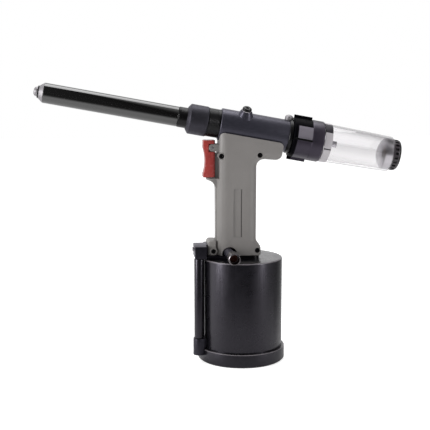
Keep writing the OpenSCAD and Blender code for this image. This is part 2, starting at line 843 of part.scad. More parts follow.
module lower_tube_block() {
  color(black) difference() {
    in_bearing() {
      translate([0, 0, low_block_base]) linear_extrude(low_block_z - low_block_base) union() {
        translate([1 - low_block_r, -low_block_r]) square([low_block_r + 1, 2 * low_block_r]);
        circle(low_block_r);
      }
    }
    translate([0, 0, -1]) cylinder(h = cap_h + 1 + gap, r = cap_r + fit);
    translate([0, 0, cap_h]) cylinder(h = low_block_z, r = cyl_r + gap);
    in_bearing() translate([0, 0, transfer_low]) cylinder(h = low_block_z, r = neck_out_r + fit);
    in_bearing() translate([0, 0, air_hole_z]) cylinder(h = transfer_low - air_hole_z + 1, r = air_hole_r);
    in_bearing() translate([0, 0, air_hole_z]) rotate([0, -90, 0])
      cylinder(h = transfer_r + 10, r = air_hole_r);
  }
}

module trigger() {
  color(red) difference() {
    intersection() {
      linear_extrude(trigger_high) rounded_plan(trigger_front - 2, trigger_back, trigger_w, 3);
      side_plate(trigger_w + 2) difference() {
        translate([trigger_front - 1, trigger_low]) square([trigger_t + 1, trigger_high - trigger_low]);
        translate([trigger_front - 47, trigger_low + 20]) circle(49, $fn = 128);
        translate([trigger_front - 2.6, trigger_low - 1]) square([2, 60]);
      }
    }
    for (y = [-trigger_w / 2 - 1, ear_in - gap]) {
      translate([-pivot_x - ear_r - gap, y, pivot_z - ear_r - 2 * gap])
        cube([20, 4.3, 2 * ear_r + 4 * gap]);
    }
    translate([channel_x, -channel_w / 2, trigger_low - 1])
      cube([trigger_back - channel_x + 1, channel_w, channel_top - trigger_low + 1]);
    translate([-pivot_x, 20, pivot_z]) rotate([90, 0, 0]) cylinder(h = 40, r = pin_d / 2 + fit);
  }
}

module trigger_pin() {
  color(steel) translate([-pivot_x, trigger_w / 2, pivot_z]) rotate([90, 0, 0])
    cylinder(h = trigger_w, r = pin_d / 2);
}

module inlet_body() {
  color(black) inlet_frame() rotate_extrude() polygon([
    [inlet_air_r, valve_half - 1], [inlet_r, valve_half - 1], [inlet_r, swivel_d - gap],
    [swivel_seat_r, swivel_d - gap], [swivel_seat_r, swivel_d + 3.6], [swivel_seat_r + 0.7, swivel_d + 3.9],
    [swivel_seat_r + 0.7, swivel_d + 4.9], [inlet_air_r, swivel_d + 4.9]
  ]);
}

module inlet_swivel() {
  color(steel) inlet_frame() translate([0, 0, swivel_d]) difference() {
    union() {
      intersection() {
        cylinder(h = swivel_len - 1, r = swivel_r / cos(30), $fn = 6);
        rotate_extrude() polygon([
          [0, 0], [swivel_r - 1, 0], [swivel_r + 0.5, 1.5], [swivel_r + 0.5, swivel_len - 1],
          [0, swivel_len - 1]
        ]);
      }
      translate([0, 0, swivel_len - swivel_rim]) rotate_extrude() polygon([
        [0, 0], [swivel_rim_r, 0], [swivel_rim_r, swivel_rim - 0.8], [swivel_rim_r - 0.8, swivel_rim],
        [0, swivel_rim]
      ]);
    }
    translate([0, 0, -1]) cylinder(h = 5, r = swivel_seat_r + fit);
    translate([0, 0, 3.5]) cylinder(h = 2.2, r = 5.3);
    translate([0, 0, 5.5]) cylinder(h = 4, r = filter_r + fit);
    translate([0, 0, swivel_len - thread_len]) cylinder(h = swivel_len, r = inlet_bore / 2);
  }
}

module inlet_filter() {
  color("sienna") inlet_frame() translate([0, 0, swivel_d + 5.8]) cylinder(h = 2.2, r = filter_r);
}

module head_barrel() {
  color(charcoal) difference() {
    union() {
      turned([
        [0, barrel_front], [barrel_r - 0.8, barrel_front], [barrel_r, barrel_front + 0.8],
        [barrel_r, barrel_step], [seat_r, barrel_step], [seat_r, barrel_rear], [0, barrel_rear]
      ]);
      translate([0, 0, tube_top]) cylinder(h = head_z - tube_top, r = boss_r);
      oil_frame() translate([0, 0, oil_base])
        cylinder(h = oil_face - oil_base, r1 = oil_r + (oil_face - oil_base) / 2, r2 = oil_r);
    }
    head_rod(barrel_front - 1, barrel_rear + 1, bore_r);
    translate([0, 0, tube_top - 1]) cylinder(h = 5.2, r = tube_ri + 1.8 + fit);
    translate([0, 0, tube_top]) cylinder(h = 20, r = 3);
    oil_frame() cylinder(h = oil_face + 1, r = 2.5);
  }
}

// +Z runs out of the barrel along the oil screw's axis
module oil_frame() {
  head_frame() translate([oil_s, 0, 0]) rotate([oil_tilt, 0, 0]) children();
}

module oil_washer() {
  color(steel) oil_frame() translate([0, 0, oil_face]) difference() {
    cylinder(h = 0.8, r = oil_r - 0.3);
    translate([0, 0, -1]) cylinder(h = 3, r = 2.5 + fit);
  }
}

module oil_screw() {
  color(black) oil_frame() difference() {
    rotate_extrude() polygon([
      [0, oil_tip], [2.45, oil_tip], [2.45, oil_face + 0.8], [5.8, oil_face + 0.8], [5.8, oil_face + 2.4],
      [4.6, oil_face + 3.8], [0, oil_face + 3.8]
    ]);
    translate([0, 0, oil_face + 2]) cylinder(h = 3, r = 1.9, $fn = 6);
  }
}

module head_neck() {
  groove = [
    for (s = [nut_rear + 1.5:1.5:barrel_front - 2])
      each [[neck_r, s], [neck_r - 0.35, s + 0.4], [neck_r, s + 0.8]]
  ];
  color(black) turned(concat(
    [[rod_r + fit, neck_s], [neck_ri, neck_s], [neck_ri, nut_rear], [neck_r, nut_rear]], groove,
    [[neck_r, barrel_front], [bore_r - press, barrel_front], [bore_r - press, spigot_s],
     [rod_r + 2.6, spigot_s], [rod_r + 2.6, spigot_s - 4], [rod_r + fit, spigot_s - 4]]
  ));
}

module rod_seal() {
  color(black) turned([
    [rod_r + press, spigot_s - 3.9], [rod_r + 2.55, spigot_s - 3.9], [rod_r + 2.55, spigot_s - 0.2],
    [rod_r + 0.8, spigot_s - 0.2], [rod_r + press, spigot_s - 1]
  ]);
}

module front_nut() {
  color(charcoal) turned([
    [coupling_r + fit, nut_front], [nut_od / 2 - 4.5, nut_front + 0.5], [nut_od / 2 - 0.6, nut_front + 3.4],
    [nut_od / 2, nut_front + 4.2], [nut_od / 2, nut_rear - 1.2], [nut_od / 2 - 0.8, nut_rear - 0.1],
    [neck_ri + fit, nut_rear - 0.1], [neck_ri + fit, shoulder_s - fit], [coupling_r + fit, shoulder_s - fit]
  ]);
}

module nose_coupling() {
  color(black) difference() {
    turned([
      [7.4, tube_rear - 15], [tube_bore / 2 - fit, tube_rear - 15], [tube_bore / 2 - fit, tube_rear],
      [coupling_r - 0.6, tube_rear], [coupling_r, tube_rear + 0.6], [coupling_r, shoulder_s],
      [neck_ri, shoulder_s], [neck_ri, neck_s - 0.2], [rod_r + 0.6, neck_s - 0.2],
      [rod_r + 0.6, neck_s - 4], [7.4, neck_s - 6]
    ]);
    head_frame() rotate([flat_turn, 0, 0]) for (z = [flat_half, -flat_half - 20])
      translate([tube_rear + coupling_rim, -20, z])
        cube([nut_front - tube_rear - coupling_rim - 0.5, 40, 20]);
  }
}

module nose_tube() {
  color(black) turned([
    [tube_bore / 2, tube_front], [tube_od / 2, tube_front], [tube_od / 2, tube_rear - 0.6],
    [tube_od / 2 - 0.6, tube_rear], [tube_bore / 2, tube_rear]
  ]);
}

module nose_cap() {
  color(steel) turned([
    [5.9, nose_s], [8, nose_s], [tube_od / 2 - 0.4, tube_front - 0.6], [tube_od / 2 - 0.4, tube_front],
    [tube_bore / 2 - fit, tube_front], [tube_bore / 2 - fit, tube_front + 2.5], [5.9, tube_front + 2.5]
  ]);
}

module nose_ring() {
  color(black) ring_at(nose_s - 0.95, 6.75, 0.93);
}

module nosepiece() {
  h = nosepiece_hole / 2;
  color(steel) turned([
    [h, nose_s - 6.3], [h + 1.2, nose_s - 6.3], [5, nose_s - 5.2], [5.8, nose_s - 3.6],
    [5.8, tube_front + 2.4], [4.3, tube_front + 2.4], [4.3, cone_s + 0.8], [3.2, cone_s + 1.7],
    [h, cone_s + 1.7]
  ]);
}

module pull_piston() {
  color(steel) turned([
    [draw_r + fit, rod_front], [rod_r - 0.8, rod_front], [rod_r, rod_front + 0.8], [rod_r, piston_s],
    [bore_r - fit, piston_s], [bore_r - fit, piston_s + 4.5], [bore_r - 2.5, piston_s + 4.5],
    [bore_r - 2.5, piston_s + 8.5], [bore_r - fit, piston_s + 8.5], [bore_r - fit, piston_s + piston_len],
    [guide_r + fit, piston_s + piston_len], [guide_r + fit, piston_s + 2], [hole_r, piston_s + 2],
    [hole_r, draw_rear + 0.1], [draw_r + fit, draw_rear + 0.1]
  ]);
}

module pull_piston_seal() {
  color(black) turned([
    [bore_r - 2.45, piston_s + 4.6], [bore_r - fit, piston_s + 4.6], [bore_r - fit, piston_s + 8.4],
    [bore_r - 2.45, piston_s + 8.4]
  ]);
}

module draw_bar() {
  color(steel) turned([
    [hole_r, draw_front], [draw_r, draw_front], [draw_r, draw_rear], [hole_r, draw_rear]
  ]);
}

module jaw_housing() {
  color(steel) turned([
    [cone_r1, jaw_s], [jaw_r - 1, jaw_s], [jaw_r, jaw_s + 1], [jaw_r, jaw_s + jaw_len - 1],
    [jaw_r - 1, jaw_s + jaw_len], [draw_r + fit, jaw_s + jaw_len], [draw_r + fit, draw_front - 2],
    [cone_r2, draw_front - 2], [cone_r2, cone_s + cone_len], [cone_r1, cone_s]
  ]);
}

// Radius of the jaws' outside at a distance s along the head axis
function jaw_out(s) = cone_r1 + (cone_r2 - cone_r1) * (s - cone_s) / cone_len - gap;

module jaws() {
  color(steel) difference() {
    turned([
      [2.4, cone_s + 2], [jaw_out(cone_s + 2), cone_s + 2], [jaw_out(cone_s + 13), cone_s + 13],
      [2.4, cone_s + 13]
    ]);
    head_frame() for (a = [0:120:240]) rotate([a, 0, 0]) translate([cone_s, -0.4, 0]) cube([20, 0.8, 10]);
  }
}

module jaw_pusher() {
  color(steel) turned([
    [hole_r, cone_s + 13.3], [6.3, cone_s + 13.3], [6.3, cone_s + 17], [3.9, cone_s + 17],
    [3.9, cone_s + 24.5], [hole_r, cone_s + 24.5]
  ]);
}

module jaw_spring() {
  color(steel) head_frame() rotate([0, 90, 0]) translate([0, 0, cone_s + 17.1])
    coil(5.2, 0.5, draw_front - cone_s - 17.2, 5);
}

module return_spring() {
  color(steel) head_frame() rotate([0, 90, 0]) translate([0, 0, spring_s + 0.1])
    coil(10.5, spring_wire, bush_s - spring_s - 0.2, spring_turns);
}

module rear_bush() {
  color("darkgoldenrod") turned([
    [guide_r + fit, bush_s], [bore_r - press, bush_s], [bore_r - press, barrel_rear], [seat_r, barrel_rear],
    [seat_r, barrel_rear + 6], [guide_r + fit, barrel_rear + 6]
  ]);
}

module mandrel_tube() {
  color(steel) turned([
    [hole_r, piston_s + 2.1], [guide_r, piston_s + 2.1], [guide_r, guide_rear], [hole_r, guide_rear]
  ]);
}

module lock_ring() {
  color(black) difference() {
    turned([
      [seat_r + fit, barrel_step], [ring_out - 0.6, barrel_step], [ring_out, barrel_step + 0.6],
      [ring_out, collar_front - 0.9], [ring_out - 0.6, collar_front - gap], [seat_r + fit, collar_front - gap]
    ]);
    head_frame() translate([lock_s, 0, 0]) cylinder(h = 2 * ring_out, r = lock_r + gap / 2);
  }
}

module lock_screw() {
  color(steel) difference() {
    head_frame() translate([lock_s, 0, 0]) rotate_extrude() intersection() {
      translate([0, seat_r]) square([lock_r, lock_top - seat_r]);
      translate([0, lock_top - lock_dome_r]) circle(lock_dome_r);
    }
    head_rod(0, barrel_step, barrel_r + 0.02);
    head_rod(barrel_step - 1, barrel_rear, seat_r + 0.02);
  }
}

module rear_collar() {
  r = collar_od / 2;
  color(charcoal) union() {
    turned([
      [seat_r + fit, collar_front], [r - 1.4, collar_front], [r - 0.6, collar_front + 1],
      [r - 0.6, collar_front + rib_len], [r, collar_front + rib_len + 0.8], [r, collar_rear - 1.2],
      [r - 0.8, collar_rear],
      [bottle_r + 0.2, collar_rear], [bottle_r + 0.2, barrel_rear + 7.8], [seat_r + fit, barrel_rear + 7.8]
    ]);
    head_frame() for (a = [0:90:270]) rotate([a, 0, 0]) translate([collar_front, -rib_w / 2, r - 4])
      cube([rib_len, rib_w, 4 + rib_h]);
  }
}

module bottle_ring() {
  color(steel) turned([
    [bottle_r + press, ring_s], [bottle_r + 0.4, ring_s], [bottle_r + 0.7, ring_s + 0.3],
    [bottle_r + 0.7, ring_s + ring_len - 1.4], [bottle_r + 0.4, ring_s + ring_len - 1.1],
    [bottle_r + 0.6, ring_s + ring_len - 0.8], [bottle_r + 0.6, ring_s + ring_len - 0.2],
    [bottle_r + 0.4, ring_s + ring_len], [bottle_r + press, ring_s + ring_len]
  ]);
}

module bottle() {
  color(clear) turned([
    [bottle_ri, bottle_s], [bottle_r, bottle_s], [bottle_r, ring_s + ring_len], [bottle_far_r, bottle_end],
    [bottle_far_r - bottle_wall, bottle_end], [bottle_far_r - bottle_wall, bottle_end - insert_len],
    [bottle_ri, ring_s + ring_len]
  ]);
}

// A plug whose domed front closes the bottle's far end
module bottle_insert() {
  tip = bottle_end - insert_len;
  color(steel) head_frame() rotate([0, 90, 0]) rotate_extrude() difference() {
    intersection() {
      translate([0, tip]) square([insert_r, insert_len]);
      translate([0, tip + dome_r]) circle(dome_r);
    }
    intersection() {
      translate([0, tip]) square([insert_r - insert_wall, insert_len + 1]);
      translate([0, tip + dome_r]) circle(dome_r - insert_wall);
    }
  }
}

module end_cap() {
  face = bottle_end + 0.1;
  round_r = end_cap_len - slot_s - slot_len;
  color(black) difference() {
    head_frame() rotate([0, 90, 0]) rotate_extrude() {
      translate([0, face]) square([end_cap_r, end_cap_len - round_r]);
      translate([0, face]) square([end_cap_r - round_r, end_cap_len]);
      translate([end_cap_r - round_r, face + end_cap_len - round_r]) intersection() {
        circle(round_r);
        square(round_r);
      }
    }
    head_frame() for (i = [0:slots - 1]) rotate([360 * i / slots, 0, 0])
      translate([face + slot_s, -slot_w / 2, end_cap_r - 1.8]) cube([slot_len, slot_w, 3]);
    turned([
      [0, face + end_cap_len - 1.5], [end_cap_r - 9, face + end_cap_len - 1.5],
      [end_cap_r - 8, face + end_cap_len + 1], [0, face + end_cap_len + 1]
    ]);
  }
}

base_cap();
base_seal();
air_cylinder();
air_piston();
air_piston_seal();
ram();
ram_nut();
ram_gland();
hydraulic_tube();
handle_left();
handle_right();
handle_screws();
pilot_valve_body();
pilot_stem();
pilot_spring();
main_valve_body();
valve_spool();
valve_spring();
valve_plug();
valve_block();
block_screw();
manifold_block();
manifold_plug();
transfer_tube();
transfer_seals();
lower_tube_block();
trigger();
trigger_pin();
inlet_body();
inlet_swivel();
inlet_filter();
head_barrel();
oil_washer();
oil_screw();
head_neck();
rod_seal();
front_nut();
nose_coupling();
nose_tube();
nose_cap();
nose_ring();
nosepiece();
pull_piston();
pull_piston_seal();
draw_bar();
jaw_housing();
jaws();
jaw_pusher();
jaw_spring();
return_spring();
rear_bush();
mandrel_tube();
lock_ring();
lock_screw();
rear_collar();
bottle_ring();
bottle();
bottle_insert();
end_cap();
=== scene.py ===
# %% [markdown]
# # Dressing an air-hydraulic blind riveter
# The tool's construction is already exact: every tube, seal and shell is loaded as a fixed frame, in
# metres. What is missing is what the eye reads first: rounded edges, clean screw heads, the finish of each
# surface, and painted highlights, reflections and shade on some surfaces. This lesson adds them piece by
# piece, and changes no size.

# %% Load the frame
import json
import math

import bpy
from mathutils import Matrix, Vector

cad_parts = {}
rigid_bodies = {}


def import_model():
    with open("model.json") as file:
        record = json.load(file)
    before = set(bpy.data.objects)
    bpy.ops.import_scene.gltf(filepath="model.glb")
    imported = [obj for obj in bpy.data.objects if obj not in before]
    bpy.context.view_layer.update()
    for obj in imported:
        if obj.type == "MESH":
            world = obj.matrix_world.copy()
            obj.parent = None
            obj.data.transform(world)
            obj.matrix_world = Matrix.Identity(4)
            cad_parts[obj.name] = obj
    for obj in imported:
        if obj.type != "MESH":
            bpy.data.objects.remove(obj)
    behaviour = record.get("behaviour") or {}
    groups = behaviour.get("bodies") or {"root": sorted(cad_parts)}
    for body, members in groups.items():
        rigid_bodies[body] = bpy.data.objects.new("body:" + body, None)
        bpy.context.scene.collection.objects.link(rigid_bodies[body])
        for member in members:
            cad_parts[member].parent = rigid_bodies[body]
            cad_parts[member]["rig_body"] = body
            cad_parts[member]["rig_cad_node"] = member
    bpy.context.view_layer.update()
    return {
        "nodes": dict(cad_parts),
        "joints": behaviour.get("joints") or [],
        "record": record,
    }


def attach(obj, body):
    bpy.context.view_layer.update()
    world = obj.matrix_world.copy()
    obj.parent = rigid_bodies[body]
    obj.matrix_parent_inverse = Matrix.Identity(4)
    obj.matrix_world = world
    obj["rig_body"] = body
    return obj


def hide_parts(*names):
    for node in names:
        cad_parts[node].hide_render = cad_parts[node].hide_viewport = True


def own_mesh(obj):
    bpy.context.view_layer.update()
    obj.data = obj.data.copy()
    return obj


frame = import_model()
nodes = frame["nodes"]
body_of = {node: body for body, held in frame["record"]["behaviour"]["bodies"].items() for node in held}
slot_of = {part["node"]: part["material_slot"] for part in frame["record"]["subparts"]}
MM = 0.001

# %% [markdown]
# Most pieces of the head are turned parts on one tilted axis. The record names that axis as the direction
# in which the pulling piston slides, so the script reads it there. A point of the axis is where the rear
# collar turns. What lies round the axis is then measured along it and away from it. The inlet's own axis is
# read the same way.

# %% The head's axis
joints = {j["name"]: j for j in frame["joints"]}
HEAD_AXIS = Vector(joints["pull"]["axis"]).normalized()
HEAD_POINT = Vector(joints["collar_turn"]["pos_m"])
INLET_AXIS = Vector(joints["inlet_turn"]["axis"]).normalized()
INLET_POINT = Vector(joints["inlet_turn"]["pos_m"])
print("the nose rises", round(math.degrees(math.asin(-HEAD_AXIS.z)), 2), "degrees")

# %% [markdown]
# ## Finishes
# Colours are written as hex values, as a paint shop would give them, and turned to linear light by one
# function. One helper adds a shader node with its settings and its links, so that each finish reads as a
# short recipe.

# %% Helpers for materials
# The range that a noise texture's values seldom leave.
NOISE_LOW, NOISE_HIGH = 0.3, 0.7


def colour(hex_code):
    """Turns an sRGB hex colour to the linear colour that a shader uses."""
    parts = [int(hex_code[i:i + 2], 16) / 255 for i in (1, 3, 5)]
    linear = [c / 12.92 if c <= 0.04045 else ((c + 0.055) / 1.055) ** 2.4 for c in parts]
    return (*linear, 1.0)


def add(mat, kind, links=None, **settings):
    """Adds a node to a material or the world.

    A link's key is an input, by name or number, and its value is a socket or a plain value. In a Mix node, 0
    is the factor, 2 and 3 are the plain values, and 6 and 7 the colours.
    """
    new = mat.node_tree.nodes.new(kind)
    for key, value in settings.items():
        setattr(new, key, value)
    for key, value in (links or {}).items():
        if isinstance(value, bpy.types.NodeSocket):
            mat.node_tree.links.new(value, new.inputs[key])
        else:
            new.inputs[key].default_value = value
    return new


def finish(name, **sockets):
    """Starts a material with one Principled shader, whose sockets are named with underscores."""
    mat = bpy.data.materials.new(name)
    mat.use_nodes = True
    shader = mat.node_tree.nodes["Principled BSDF"]
    for key, value in sockets.items():
        shader.inputs[key.replace("_", " ")].default_value = value
    return mat, shader


def place(mat):
    """The place on the piece, in metres."""
    return add(mat, "ShaderNodeTexCoord").outputs["Object"]


def grain(mat, size_mm, at=None, detail=2.0):
    """Noise whose spots are size_mm across."""
    links = {"Vector": at or place(mat), "Scale": 1 / (size_mm * MM), "Detail": detail}
    return add(mat, "ShaderNodeTexNoise", links).outputs["Fac"]


def between(mat, factor, low, high):
    """Spreads a factor's middle range over low to high."""
    links = {"Value": factor, "From Min": NOISE_LOW, "From Max": NOISE_HIGH, "To Min": low, "To Max": high}
    return add(mat, "ShaderNodeMapRange", links).outputs["Result"]


def shade(mat, factor, dark, light):
    """Mixes two hex colours by a factor."""
    links = {"Factor": factor, 6: colour(dark), 7: colour(light)}
    return add(mat, "ShaderNodeMix", links, data_type="RGBA").outputs[2]


def window(mat, value, low, high):
    """One where a value lies between low and high."""
    links = {0: value, 1: (low + high) / 2, 2: (high - low) / 2}
    return add(mat, "ShaderNodeMath", links, operation="COMPARE").outputs[0]


def both(mat, first, second):
    """Multiplies two factors."""
    return add(mat, "ShaderNodeMath", {0: first, 1: second}, operation="MULTIPLY").outputs[0]


def repaint(mat, where, base, hex_code):
    """Lays a colour over another socket's colour."""
    return add(mat, "ShaderNodeMix", {0: where, 6: base, 7: colour(hex_code)}, data_type="RGBA").outputs[2]


def relief(mat, shader, height, depth_mm):
    """Bumps the surface by a height pattern of depth_mm."""
    bump = add(mat, "ShaderNodeBump", {"Height": height, "Distance": depth_mm * MM, "Strength": 1.0})
    wire(mat, bump.outputs["Normal"], shader, "Normal")


def wire(mat, socket, shader, name):
    """Links a socket to one of a shader's inputs."""
    mat.node_tree.links.new(socket, shader.inputs[name])


print("a middle grey is", round(colour("#808080")[0], 3), "in linear light")

# %% [markdown]
# ### Patterns that follow a turned part
# Turning leaves fine rings round the part's axis, so the pattern needs the place measured along that axis.
# A Mapping node turns Object coordinates so that Z runs along it.

# %% Coordinates on a turned part


def along_axis(mat, point, direction):
    """Object coordinates moved to point and turned so that Z runs along direction."""
    turn = Vector(direction).to_track_quat("Z", "Y").to_matrix()
    angles = turn.transposed().to_euler()
    moved = add(mat, "ShaderNodeVectorMath", {0: place(mat), 1: tuple(point)}, operation="SUBTRACT")
    links = {"Vector": moved.outputs[0], "Rotation": tuple(angles)}
    return add(mat, "ShaderNodeMapping", links).outputs["Vector"]


def rings(mat, point, direction, spacing_mm):
    """Fine tool rings along an axis: bands of noise stretched round the part."""
    turned = along_axis(mat, point, direction)
    split = add(mat, "ShaderNodeSeparateXYZ", {0: turned})
    line = add(mat, "ShaderNodeCombineXYZ", {"Z": split.outputs["Z"]})
    return grain(mat, spacing_mm, line.outputs[0], detail=1.0)


upright = math.degrees(HEAD_AXIS.angle(Vector((0, 0, 1))))
print("the head's axis lies", round(upright, 1), "degrees from upright")

# %% [markdown]
# ### Gloss black enamel
# The air cylinder, its base cap and the side tube are aluminium under stoved black enamel. The coat is a
# plain dielectric with an IOR of 1.5, so its reflections are weak in the middle and strong at the edges.
# The paint below spreads most of the light, and a thin clear skin over it keeps a sharp image of the lamps.
# Stoving leaves a faint orange peel about 2 mm across, and handling leaves the gloss slightly uneven.

# %% Enamel


def enamel(name, dark, light, gloss, peel_mm=2.2):
    """Stoved enamel between two colours, with a middle roughness of gloss."""
    mat, shader = finish(name, Metallic=0.0, IOR=1.5, Specular_Tint=colour("#eee6fb"), Coat_Weight=0.2,
                         Coat_Roughness=0.05)
    wire(mat, shade(mat, grain(mat, 14), dark, light), shader, "Base Color")
    wire(mat, between(mat, grain(mat, 9), gloss - 0.04, gloss + 0.05), shader, "Roughness")
    relief(mat, shader, grain(mat, peel_mm), 0.006)
    return mat


gloss_enamel = enamel("gloss_black_enamel", "#050507", "#0a0a0d", 0.3)
# A grey enamel for the upper rims of the cylinder and its base cap, which is a painted highlight.
enamel_rim_highlight = enamel("black_enamel_with_painted_highlight", "#4a474b", "#7d787b", 0.34)
print("made", gloss_enamel.name, enamel_rim_highlight.name)

# %% [markdown]
# ### Black chrome
# The long nose tube is steel under polished black chrome, the most mirror-like finish on the tool. It shows
# the studio as sharp stripes: white above, dark in the middle and the grey paper below.

# %% Black chrome
black_chrome, chrome_shader = finish("black_chrome_on_steel", Metallic=0.0, IOR=1.9)
chrome_colour = shade(black_chrome, grain(black_chrome, 20), "#050505", "#0a090a")
wire(black_chrome, chrome_colour, chrome_shader, "Base Color")
wire(black_chrome, between(black_chrome, grain(black_chrome, 6), 0.03, 0.07), chrome_shader, "Roughness")
print("made", black_chrome.name)

# %% [markdown]
# ### Satin black anodised aluminium
# Barrel, front nut and valve blocks are cut from aluminium, blasted and anodised. The blasting gives a grit
# of about 0.3 mm, drawn at 0.5 mm so that it shows, and the anodised film has a faint blue cast.

# %% Anodised aluminium


def anodised(name, dark, light, rough, grit_mm=0.5):
    """Blasted and anodised aluminium between two colours."""
    mat, shader = finish(name, Metallic=0.25, IOR=1.6, Specular_Tint=colour("#eae4fb"))
    wire(mat, shade(mat, grain(mat, 5), dark, light), shader, "Base Color")
    wire(mat, between(mat, grain(mat, 3), rough - 0.06, rough + 0.06), shader, "Roughness")
    relief(mat, shader, grain(mat, grit_mm), 0.02)
    return mat


satin_black = anodised("satin_black_anodised_aluminium", "#26262d", "#2f2f37", 0.36)
block_black = anodised("black_anodised_block", "#0e0e12", "#15151a", 0.34)
nut_black = anodised("matt_black_anodised_nut", "#161619", "#1f1f23", 0.5)
print("made", satin_black.name, block_black.name, nut_black.name)

# %% [markdown]
# ### Black oxide steel
# Screws, the lock ring, the neck, the nose's coupling and the oil's tube are steel, blackened in a hot salt
# bath. The oxide is thin, so the metal's own reflection stays, only much darker.

# %% Black oxide
oxide_black, oxide_shader = finish("black_oxide_steel", Metallic=0.6, Roughness=0.3)
wire(oxide_black, shade(oxide_black, grain(oxide_black, 4), "#0d0d0f", "#161517"), oxide_shader, "Base Color")
relief(oxide_black, oxide_shader, grain(oxide_black, 0.6), 0.015)
print("made", oxide_black.name)

# %% [markdown]
# ### Turned steel and machined aluminium
# Bright turned parts show fine rings round the axis, about 0.15 mm apart. They are drawn 0.6 mm apart so
# that they show. Rings change the roughness more than the height. The bottle's cup, the mandrel tube, the
# tip of the nose and the lock ring's screw are duller than clean metal, so they are less metallic.

# %% Bright metals


def turned_metal(name, dark, light, rough, point=HEAD_POINT, direction=HEAD_AXIS, metallic=1.0,
                 spacing_mm=0.6):
    """Bright metal between two colours, with tool rings round its axis."""
    mat, shader = finish(name, Metallic=metallic)
    lines = rings(mat, point, direction, spacing_mm)
    wire(mat, shade(mat, lines, dark, light), shader, "Base Color")
    wire(mat, between(mat, lines, rough - 0.06, rough + 0.08), shader, "Roughness")
    relief(mat, shader, lines, 0.01)
    return mat


bright_steel = turned_metal("turned_steel", "#a09da1", "#c6c3c7", 0.4)
bright_aluminium = turned_metal("machined_aluminium", "#c4c3c7", "#e4e3e6", 0.3)
upright_steel = turned_metal("ground_steel", "#a4a4a8", "#c8c8cb", 0.2, (0, 0, 0), (0, 0, 1))
inlet_steel = turned_metal("nickelled_steel", "#5d595b", "#878285", 0.26, INLET_POINT, INLET_AXIS)
bronze = turned_metal("plain_bronze", "#8a6a3c", "#b08c55", 0.34)
polished_aluminium = turned_metal("polished_aluminium", "#a9a6ab", "#cfccd1", 0.16, metallic=0.55)
blasted_steel = turned_metal("blasted_steel", "#7d7b7e", "#959295", 0.48, metallic=0.7)
print("made", bright_steel.name, bright_aluminium.name, upright_steel.name, inlet_steel.name)
print("made", bronze.name, polished_aluminium.name, blasted_steel.name)

# %% [markdown]
# ### Painted shade and reflection on the collar, dark bands on its ring
# The collar is turned by hand. Its front 5 mm are painted matt black all round, as painted shade. Up to 23 mm
# from the front it is painted matt black for 50 degrees from the top, as painted shade below the top rib, and
# light grey from there to 88 degrees, as a painted reflection. The rest is a dark grey. Behind it shows the
# bottle's steel ring, with a dark band on its upper part and a dark line further round. Both patterns are
# windows on two measures: the length along the axis and the angle from the top.

# %% Collar with painted shade and reflection, ring with dark bands
FRONT_LONG_MM, PANEL_LONG_MM = 5, 23
TOP_DEGREES, SIDE_DEGREES, PAST_TOP_RADIANS = 50, 88, 0.1
DARK_BAND_DEGREES, DARK_LINE_DEGREES = (18, 56), (104, 108)
PLAIN_SPECULAR, MATT_SPECULAR = 0.4, 0.012
collar_points = nodes["rear_collar"].data.vertices
COLLAR_FRONT = min((Vector(v.co) - HEAD_POINT).dot(HEAD_AXIS) for v in collar_points)
FRONT_END = COLLAR_FRONT + FRONT_LONG_MM * MM
PANEL_END = COLLAR_FRONT + PANEL_LONG_MM * MM


def round_head(mat):
    """The length along the head's axis, and the angle from the top, at a place."""
    split = add(mat, "ShaderNodeSeparateXYZ", {0: along_axis(mat, HEAD_POINT, HEAD_AXIS)})
    across = add(mat, "ShaderNodeMath", {0: split.outputs["X"]}, operation="ABSOLUTE")
    angle = add(mat, "ShaderNodeMath", {0: across.outputs[0], 1: split.outputs["Y"]}, operation="ARCTAN2")
    return split.outputs["Z"], angle.outputs[0]


collar_finish, collar_finish_shader = finish("black_anodised_with_painted_shade_and_reflection", IOR=1.6, Specular_Tint=colour("#e6dcf4"))
length, angle = round_head(collar_finish)
# front and upper are painted shade: the black front band and the black below the top rib. side, within the
# panel's length, is a painted reflection.
front = window(collar_finish, length, COLLAR_FRONT - MM, FRONT_END)
grip = window(collar_finish, length, FRONT_END, PANEL_END)
upper = both(collar_finish, grip, window(collar_finish, angle, -PAST_TOP_RADIANS, math.radians(TOP_DEGREES)))
side = window(collar_finish, angle, math.radians(TOP_DEGREES), math.radians(SIDE_DEGREES))
painted_reflection = both(collar_finish, grip, side)
# black is all the painted shade. There the gloss is also turned almost off, so it stays black.
black = add(collar_finish, "ShaderNodeMath", {0: front, 1: upper}, operation="MAXIMUM").outputs[0]
collar_colour = shade(collar_finish, grain(collar_finish, 5), "#1f1b23", "#26222a")
# The collar's dark grey, with the painted reflection and then the painted shade laid over it.
collar_colour = repaint(collar_finish, black, repaint(collar_finish, painted_reflection, collar_colour, "#6a666d"), "#060608")
wire(collar_finish, collar_colour, collar_finish_shader, "Base Color")
links = {"Value": black, "To Min": PLAIN_SPECULAR, "To Max": MATT_SPECULAR}
specular = add(collar_finish, "ShaderNodeMapRange", links).outputs[0]
wire(collar_finish, specular, collar_finish_shader, "Specular IOR Level")
wire(collar_finish, between(collar_finish, grain(collar_finish, 3), 0.32, 0.42), collar_finish_shader, "Roughness")
relief(collar_finish, collar_finish_shader, grain(collar_finish, 0.5), 0.01)

ring_steel, ring_shader = finish("ring_steel_with_dark_bands", Metallic=0.5)
_, angle = round_head(ring_steel)
